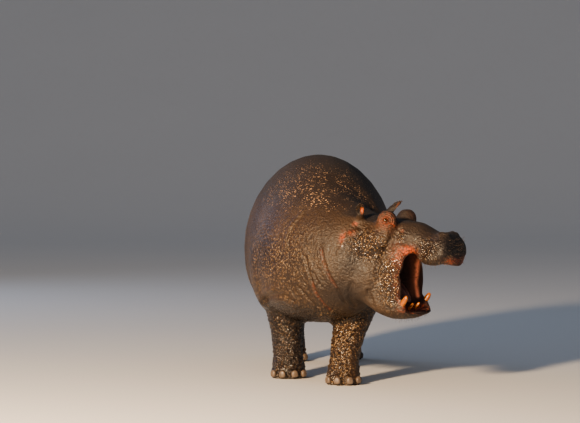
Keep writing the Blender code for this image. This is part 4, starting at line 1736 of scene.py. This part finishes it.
# ---- Eyes, teeth, tongue and nails ----
@dataclass(frozen=True)
class Eyeball:
    """One eyeball with its domed cornea."""

    eye: Eye
    head: HeadFrame
    dome: float = 0.0016
    segments: int = 40
    rings: int = 24

    def build(self) -> bpy.types.Object:
        """Makes the ball.

        Returns:
            The ball's object.
        """
        middle = Vector(self.head.placed(self.eye.centre()))
        thing = primitive(f"eyeball_{self.eye.side.word}", bpy.ops.mesh.primitive_uv_sphere_add,
                          segments=self.segments, ring_count=self.rings, radius=self.eye.radius,
                          location=middle)
        bpy.ops.object.transform_apply(location=True, rotation=False, scale=False)
        away = coordinates(thing) - np.array(middle)
        facing = away @ self.head.turned(self.eye.axes()[2]) / self.eye.radius
        swell = self.dome * smooth_step(0.74, 0.95, facing)
        move_to(thing, np.array(middle) + away * (1.0 + swell / self.eye.radius)[:, None])
        return smooth_shaded(thing)

    def dress(self, thing: bpy.types.Object) -> None:
        """Gives the ball its finish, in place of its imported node."""
        settle(thing, "eye", EyeFinish(self.eye, self.head).build(), f"eye_{self.eye.side.word}")


@dataclass(frozen=True)
class Tooth:
    """One tooth of the left side, in the head's frame: its ends, thickness and bow."""

    node: str
    root: tuple
    tip: tuple
    radius: float
    bow: tuple = (0.0, 0.0, 0.0)
    taper: float = 0.45
    flatness: float = 0.86
    rib: float = 0.05
    tip_start: float = 0.80
    sides: int = 16
    rows: int = 9

    def build(self, side: Side, head: HeadFrame) -> bpy.types.Object:
        """Makes the tooth on one side: a bowed, tapering peg with a worn round tip.

        Args:
            side: which side.
            head: the head's frame.

        Returns:
            The tooth's object.
        """
        thing = primitive(f"ivory_{self.node}_{side.word}", bpy.ops.mesh.primitive_cylinder_add,
                          vertices=self.sides, radius=1.0, depth=1.0, end_fill_type="TRIFAN",
                          location=(0, 0, 0))
        ends = coordinates(thing)[read_all(thing.data.edges, "vertices", 2)]
        upright = np.abs(ends[:, 0, 2] - ends[:, 1, 2]) > 0.5
        with edit_mode(thing):
            bpy.ops.mesh.select_all(action="DESELECT")
        thing.data.edges.foreach_set("select", upright)
        bpy.context.tool_settings.mesh_select_mode = (False, True, False)
        with edit_mode(thing):
            bpy.ops.mesh.subdivide(number_cuts=self.rows)
        bpy.context.tool_settings.mesh_select_mode = (True, False, False)
        move_to(thing, head.placed(self.shape(coordinates(thing), side)))
        with edit_mode(thing):
            bpy.ops.mesh.select_all(action="SELECT")
            bpy.ops.mesh.normals_make_consistent(inside=False)
        with_modifier(thing, "SUBSURF", levels=1, render_levels=1)
        return smooth_shaded(thing)

    def shape(self, points: np.ndarray, side: Side) -> np.ndarray:
        """Tapers a straight upright peg, rounds its tip, bows it and sets it in the jaw.

        Args:
            points: the peg's points, from half a unit below its middle to half a unit above.
            side: which side the tooth is on.

        Returns:
            The points in the head's frame.
        """
        root, tip, bow = (side.mirror(place) for place in (self.root, self.tip, self.bow))
        t = 1.0 - (0.5 - points[:, 2]) ** 1.35
        along = (tip - root) / np.linalg.norm(tip - root)
        across = np.cross(along, (0.0, 1.0, 0.0))
        across /= np.linalg.norm(across)
        other = np.cross(along, across)
        worn = np.sqrt(np.clip(1.0 - ((t - self.tip_start) / 0.215) ** 2, 0.02, 1.0))
        size = self.radius * (1.0 - self.taper * t ** 1.6)
        size = size * np.where(t > self.tip_start, worn, 1.0)
        size = size * (1.0 + self.rib * np.cos(3.0 * np.arctan2(points[:, 1], points[:, 0])))
        spot = root + t[:, None] * (tip - root) + (4.0 * t * (1.0 - t))[:, None] * bow
        spot = spot + (size * points[:, 0])[:, None] * across
        return spot + (self.flatness * size * points[:, 1])[:, None] * other

    def dress(self, thing: bpy.types.Object, side: Side, ivory: bpy.types.Material) -> None:
        """Gives the tooth its ivory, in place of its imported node."""
        settle(thing, "ivory", ivory, f"{self.node}_{side.word}")


TEETH = (
    Tooth("lower_tusk", (0.250, 0.132, 0.437), (0.322, 0.148, 0.516), 0.0190,
          (0.006, 0.0, -0.003), 0.34),
    Tooth("lower_incisor_inner", (0.276, 0.036, 0.436), (0.310, 0.038, 0.471), 0.0110),
    Tooth("lower_incisor_outer", (0.258, 0.082, 0.438), (0.284, 0.086, 0.462), 0.0080),
    Tooth("upper_canine", (0.430, 0.088, 0.740), (0.424, 0.092, 0.690), 0.0120,
          (0.004, 0.0, 0.0)),
    Tooth("upper_incisor_inner", (0.478, 0.024, 0.740), (0.486, 0.024, 0.684), 0.0085),
    Tooth("upper_incisor_outer", (0.470, 0.056, 0.740), (0.474, 0.056, 0.688), 0.0075),
)


@dataclass(frozen=True)
class Tongue:
    """The tongue, lying on the floor of the mouth, with a groove along its middle."""

    head: HeadFrame
    back: tuple = (0.135, 0.0, 0.615)
    front: tuple = (0.255, 0.0, 0.487)
    radii: tuple = (0.105, 0.060, 0.026)
    spread: float = 0.12
    groove: float = 0.006
    lumps: float = 0.0022
    segments: int = 48
    rings: int = 32

    def build(self) -> bpy.types.Object:
        """Makes the tongue.

        Returns:
            The tongue's object.
        """
        thing = primitive("tongue_flesh", bpy.ops.mesh.primitive_uv_sphere_add,
                          segments=self.segments, ring_count=self.rings, radius=1.0,
                          location=(0, 0, 0), rotation=(0, math.pi / 2, 0))
        bpy.ops.object.transform_apply(location=False, rotation=True, scale=False)
        points = coordinates(thing)
        top = smooth_step(0.0, 0.5, points[:, 2])
        points[:, 1] *= 1.0 + self.spread * smooth_step(0.2, 0.9, points[:, 0])
        local = points * np.array(self.radii)
        local[:, 2] -= self.groove * top * ridge(points[:, 1], 0.22)
        local[:, 2] += self.lumps * top * soft_noise(points, 0.22, 9)
        back, front = np.array(self.back), np.array(self.front)
        slope = math.atan2(back[2] - front[2], front[0] - back[0])
        turn = np.array(Matrix.Rotation(slope, 3, "Y"))
        move_to(thing, self.head.placed(0.5 * (back + front) + local @ turn.T))
        return smooth_shaded(thing)

    def dress(self, thing: bpy.types.Object, mottle: bpy.types.NodeTree) -> None:
        """Gives the tongue its finish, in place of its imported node."""
        settle(thing, "tongue", TongueFinish(mottle).build(), "tongue")


@dataclass(frozen=True)
class Nail:
    """One broad toenail, standing on the front of its toe."""

    end: End
    side: Side
    number: int
    radii: tuple = (0.0125, 0.0200, 0.0215)
    squareness: float = 0.80
    narrowing: float = 0.16
    ridge_height: float = 0.06
    blunt_level: float = -0.80
    sunk: float = 0.004
    clearance: float = 0.0004
    segments: int = 28
    rings: int = 16

    @property
    def node(self) -> str:
        """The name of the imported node."""
        return f"nail_{self.end.value}_{self.side.word}_{self.number}"

    def build(self) -> bpy.types.Object:
        """Makes the nail: a shield with a blunt lower edge and ridges down its face.

        Returns:
            The nail's object.
        """
        thing = primitive(f"toe{self.node}", bpy.ops.mesh.primitive_uv_sphere_add,
                          segments=self.segments, ring_count=self.rings, radius=1.0,
                          location=(0, 0, 0))
        points = coordinates(thing)
        shield = np.sign(points) * np.abs(points) ** self.squareness
        shield[:, 1] *= 1.0 - self.narrowing * smooth_step(0.0, 1.0, points[:, 2])
        ridges = np.cos(points[:, 1] * 14.0) * smooth_step(0.3, 0.9, points[:, 0])
        shield[:, 0] += self.ridge_height * ridges
        shield[:, 2] = np.maximum(shield[:, 2], self.blunt_level)
        turn = math.radians(NAIL_ANGLES[self.number])
        outward = np.array([math.cos(turn), math.sin(turn), 0.0])
        aside = np.array([-math.sin(turn), math.cos(turn), 0.0])
        local = shield * np.array(self.radii)
        spot = np.array(middle_of(self.node)) - self.sunk * outward
        spot = spot + local @ np.array([outward, aside, (0.0, 0.0, 1.0)])
        spot[:, 2] = np.maximum(spot[:, 2], self.clearance)
        move_to(thing, spot)
        return smooth_shaded(thing)

    def dress(self, thing: bpy.types.Object, horn: bpy.types.Material) -> None:
        """Gives the nail its horn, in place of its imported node."""
        settle(thing, "nail", horn, self.node)


NAIL_ANGLES = {1: -52.0, 2: -18.0, 3: 18.0, 4: 52.0}


# ---- Bristles ----
@dataclass(frozen=True)
class BristlePatch:
    """Where bristles grow, how many, and how long, thick and limp they are."""

    grows: Callable[[Places], np.ndarray]
    count: int
    length: tuple
    radius: float
    droop: float


@dataclass
class Bristles:
    """Sparse bristles on the muzzle, the chin, the ears and the tail's tip."""

    hide: Hide
    box: tuple
    seed: int = 7
    sides: int = 3
    steps: int = 3
    scatter: float = 0.28
    rooted: float = 0.001
    tip_thinning: float = 0.75
    patch_size: float = 0.003
    margin: float = 0.001

    def on_muzzle(self, places: Places) -> np.ndarray:
        """The upper lip, front and sides."""
        height = places.own[:, 2]
        return (places.own[:, 0] > 0.40) & (height < 0.825) & (height > 0.690)

    def on_chin(self, places: Places) -> np.ndarray:
        """The lower lip and the chin."""
        jaw = (places.own[:, 0] > 0.22) & (places.own[:, 2] < 0.47)
        return jaw & (places.plan[:, 0] > 1.0)

    def on_ears(self, places: Places) -> np.ndarray:
        """The upper rims of the ears."""
        return np.logical_or.reduce([ear.holds(places.own, 0.055) for ear in self.hide.ears])

    def on_tail(self, places: Places) -> np.ndarray:
        """The tail's tip and its two edges."""
        return (places.plan[:, 0] < -0.93) & (places.plan[:, 2] < 0.70)

    def build(self) -> bpy.types.Object:
        """Makes all bristles as one piece, with each one's patch on the map of the skin.

        Returns:
            The bristles' object.
        """
        places = self.hide.places()
        outward = normals(self.hide.thing)
        dry = self.hide.mouth.inside(places.own) <= 0.05
        random = np.random.default_rng(self.seed)
        tubes, faces, spots = [], [], []
        for patch in (
            BristlePatch(self.on_muzzle, 420, (0.012, 0.030), 0.00055, 0.5),
            BristlePatch(self.on_chin, 160, (0.010, 0.022), 0.00050, 0.6),
            BristlePatch(self.on_ears, 260, (0.008, 0.018), 0.00040, 0.1),
            BristlePatch(self.on_tail, 260, (0.020, 0.045), 0.00065, 1.4),
        ):
            ready = np.flatnonzero(patch.grows(places) & dry)
            for root in random.choice(ready, min(patch.count, len(ready)), replace=False):
                spine = self.spine(places.model[root], outward[root], patch, random)
                if self.fits(spine):
                    faces += self.skinned(len(tubes) * self.sides * (self.steps + 1))
                    tubes.append(self.tube(spine, patch.radius))
                    spots.append(self.spot(places.plan[root]))
        return self.joined(tubes, faces, spots)

    def dress(self, thing: bpy.types.Object) -> None:
        """Gives the bristles their finish."""
        settle(thing, "skin", BristleFinish().build())

    def fits(self, spine: np.ndarray) -> bool:
        """Whether a bristle lies well inside the model's box."""
        low, high = np.array(self.box[0]) + self.margin, np.array(self.box[1]) - self.margin
        return bool((spine > low).all() and (spine < high).all())

    def spine(self, root: np.ndarray, outward: np.ndarray, patch: BristlePatch,
              random: np.random.Generator) -> np.ndarray:
        """Draws the middle line of one bristle.

        Args:
            root: where it grows.
            outward: the skin's normal there.
            patch: the patch that it belongs to.
            random: the source of chance.

        Returns:
            The line's points, a row each.
        """
        length = random.uniform(*patch.length)
        lean = outward + random.normal(0.0, self.scatter, 3)
        lean /= np.linalg.norm(lean)
        t = np.linspace(0.0, 1.0, self.steps + 1)[:, None]
        sag = np.array([0.0, 0.0, -patch.droop])
        return root - self.rooted * outward + length * (t * lean + 0.4 * t * t * sag)

    def tube(self, spine: np.ndarray, radius: float) -> np.ndarray:
        """Finds the points round a bristle's middle line.

        Args:
            spine: the line's points.
            radius: the bristle's radius at its root.

        Returns:
            A row for each point, a ring after the other.
        """
        along = spine[-1] - spine[0]
        across = np.cross(along, (0.3, 0.2, 0.9))
        across /= np.linalg.norm(across)
        other = np.cross(along, across)
        other /= np.linalg.norm(other)
        rows = []
        for k, middle in enumerate(spine):
            size = radius * (1.0 - self.tip_thinning * k / self.steps)
            for side in range(self.sides):
                turn = 2.0 * math.pi * side / self.sides
                rows.append(middle + size * (math.cos(turn) * across + math.sin(turn) * other))
        return np.array(rows)

    def skinned(self, start: int) -> list:
        """Lists the faces of one tube.

        Args:
            start: the number of its first point.

        Returns:
            The point numbers of each face.
        """
        around = range(self.sides)
        found = [tuple(start + side for side in reversed(around))]
        for low in range(start, start + self.steps * self.sides, self.sides):
            for side in around:
                after = (side + 1) % self.sides
                found.append((low + side, low + after, low + self.sides + after,
                              low + self.sides + side))
        top = start + self.steps * self.sides
        found.append(tuple(top + side for side in around))
        return found

    def spot(self, plan: np.ndarray) -> tuple[float, float]:
        """A root's place on the skin unrolled round the body's middle line."""
        turn = math.atan2(plan[1], plan[2] - 0.68) / (2.0 * math.pi) + 0.5
        return (0.02 + 0.94 * (plan[0] + 1.1) / 2.9, 0.02 + 0.94 * turn)

    def joined(self, tubes: list, faces: list, spots: list) -> bpy.types.Object:
        """Joins the tubes into one piece with its map.

        Args:
            tubes: the points of each tube.
            faces: the point numbers of each face.
            spots: each tube's place on the map.

        Returns:
            The piece.
        """
        data = bpy.data.meshes.new("bristles")
        data.from_pydata(np.vstack(tubes).tolist(), [], faces)
        layer = data.uv_layers.new(name="OFBake")
        tube, within = np.divmod(read_all(data.loops, "vertex_index"), len(tubes[0]))
        step, side = np.divmod(within, self.sides)
        places = np.array(spots)[tube]
        places[:, 0] += self.patch_size * step / self.steps
        places[:, 1] += self.patch_size * side / self.sides
        layer.data.foreach_set("uv", places.astype(np.float32).ravel())
        thing = bpy.data.objects.new("bristles", data)
        bpy.context.scene.collection.objects.link(thing)
        return smooth_shaded(thing)


# ---- The studio ----
@dataclass(frozen=True)
class Lamp:
    """A soft light that faces the target: angles from the camera, metres and watts."""

    name: str
    aside: float
    elevation: float
    distance: float
    size: float
    power: float
    colour: tuple


@dataclass(frozen=True)
class Studio:
    """A pale floor, soft lights, a pale sky and the camera."""

    target: tuple = (-0.14343, -0.34405, 0.930)
    azimuth: float = 90.0
    elevation: float = 2.0
    distance: float = 15.0
    lens: float = 159.2
    sensor: float = 36.0
    clip_end: float = 300.0
    floor_size: float = 120.0
    floor_strips: int = 60
    sweep_start: float = 17.0
    sweep: float = 0.025
    sky_colour: tuple = (0.78, 0.86, 1.00, 1.0)
    sky_strength: float = 0.21
    look: str = "AgX - Medium High Contrast"
    lamps: tuple = (
        Lamp("key", -26.0, 14.0, 9.0, 0.7, 1750.0, (1.0, 0.74, 0.47)),
        Lamp("fill", -5.0, 4.0, 9.0, 2.0, 70.0, (1.0, 0.80, 0.62)),
        Lamp("rim", -140.0, 24.0, 8.0, 5.0, 90.0, (0.50, 0.68, 1.0)),
    )

    def build(self) -> None:
        """Makes the floor, the lights, the sky and the camera, and sets the contrast."""
        self.dress(self.floor())
        for lamp in self.lamps:
            self.light(lamp)
        self.sky()
        self.camera()
        bpy.context.scene.view_settings.look = self.look

    def floor(self) -> bpy.types.Object:
        """Makes the floor, which sweeps up far behind the animal.

        Returns:
            The floor's object.
        """
        floor = primitive("floor", bpy.ops.mesh.primitive_grid_add, y_subdivisions=1,
                          x_subdivisions=self.floor_strips, size=self.floor_size,
                          location=(0, 0, 0))
        points = coordinates(floor)
        points[:, 2] = self.sweep * np.maximum(-points[:, 0] - self.sweep_start, 0.0) ** 2
        move_to(floor, points)
        return smooth_shaded(floor)

    def dress(self, floor: bpy.types.Object) -> None:
        """Gives the floor its finish and names it as the stage."""
        floor.data.materials.append(FloorFinish().build())
        floor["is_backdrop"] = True

    def face_target(self, thing: bpy.types.Object, azimuth: float, elevation: float,
                    distance: float) -> None:
        """Puts a light or the camera in the scene, turned to the target.

        Args:
            thing: the light or the camera.
            azimuth: its angle round the target.
            elevation: its angle above it.
            distance: its distance from it.
        """
        bpy.context.scene.collection.objects.link(thing)
        a, e = math.radians(azimuth), math.radians(elevation)
        back = Vector((math.sin(a) * math.cos(e), -math.cos(a) * math.cos(e), math.sin(e)))
        thing.location = Vector(self.target) + distance * back
        away = thing.location - Vector(self.target)
        thing.rotation_euler = away.to_track_quat("Z", "Y").to_euler()

    def light(self, lamp: Lamp) -> None:
        """Adds a soft light.

        Args:
            lamp: which light.
        """
        data = bpy.data.lights.new(lamp.name, "AREA")
        data.energy, data.size, data.color = lamp.power, lamp.size, lamp.colour
        self.face_target(bpy.data.objects.new(lamp.name, data), self.azimuth + lamp.aside,
                         lamp.elevation, lamp.distance)

    def sky(self) -> None:
        """Lights the studio evenly with a pale sky."""
        world = bpy.data.worlds.new("studio")
        world.use_nodes = True
        backdrop = world.node_tree.nodes["Background"]
        backdrop.inputs["Color"].default_value = self.sky_colour
        backdrop.inputs["Strength"].default_value = self.sky_strength
        bpy.context.scene.world = world

    def camera(self) -> None:
        """Makes the camera and puts it in use."""
        data = bpy.data.cameras.new("camera")
        data.lens, data.sensor_width, data.clip_end = self.lens, self.sensor, self.clip_end
        thing = bpy.data.objects.new("camera", data)
        self.face_target(thing, self.azimuth, self.elevation, self.distance)
        bpy.context.scene.camera = thing


def main() -> None:
    """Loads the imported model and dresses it."""
    logging.basicConfig(level=logging.INFO, format="%(name)s: %(message)s")
    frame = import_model()
    cad_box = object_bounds()
    bpy.ops.object.select_all(action="DESELECT")
    head = HeadFrame.from_eyes()
    mottle, streaks = skin_mottle(), horn_streaks()

    hide = Hide(head, PlanLine(head))
    hide.build(frame["nodes"])
    hide.dress(mottle)

    for eye in hide.eyes:
        ball = Eyeball(eye, head)
        ball.dress(ball.build())

    ivory = HornFinish("worn_ivory", streaks, (0.36, 0.115, 0.017), (0.22, 0.052, 0.008), 0.30,
                       0.3).build()
    for tooth in TEETH:
        for side in Side:
            tooth.dress(tooth.build(side, head), side, ivory)

    tongue = Tongue(head)
    tongue.dress(tongue.build(), mottle)

    horn = HornFinish("dull_horn", streaks, (0.16, 0.115, 0.085), (0.055, 0.040, 0.032), 0.45,
                      0.1).build()
    for end in End:
        for side in Side:
            for number in NAIL_ANGLES:
                nail = Nail(end, side, number)
                nail.dress(nail.build(), horn)

    bristles = Bristles(hide, cad_box)
    bristles.dress(bristles.build())
    Studio().build()


if __name__ == "__main__":
    main()
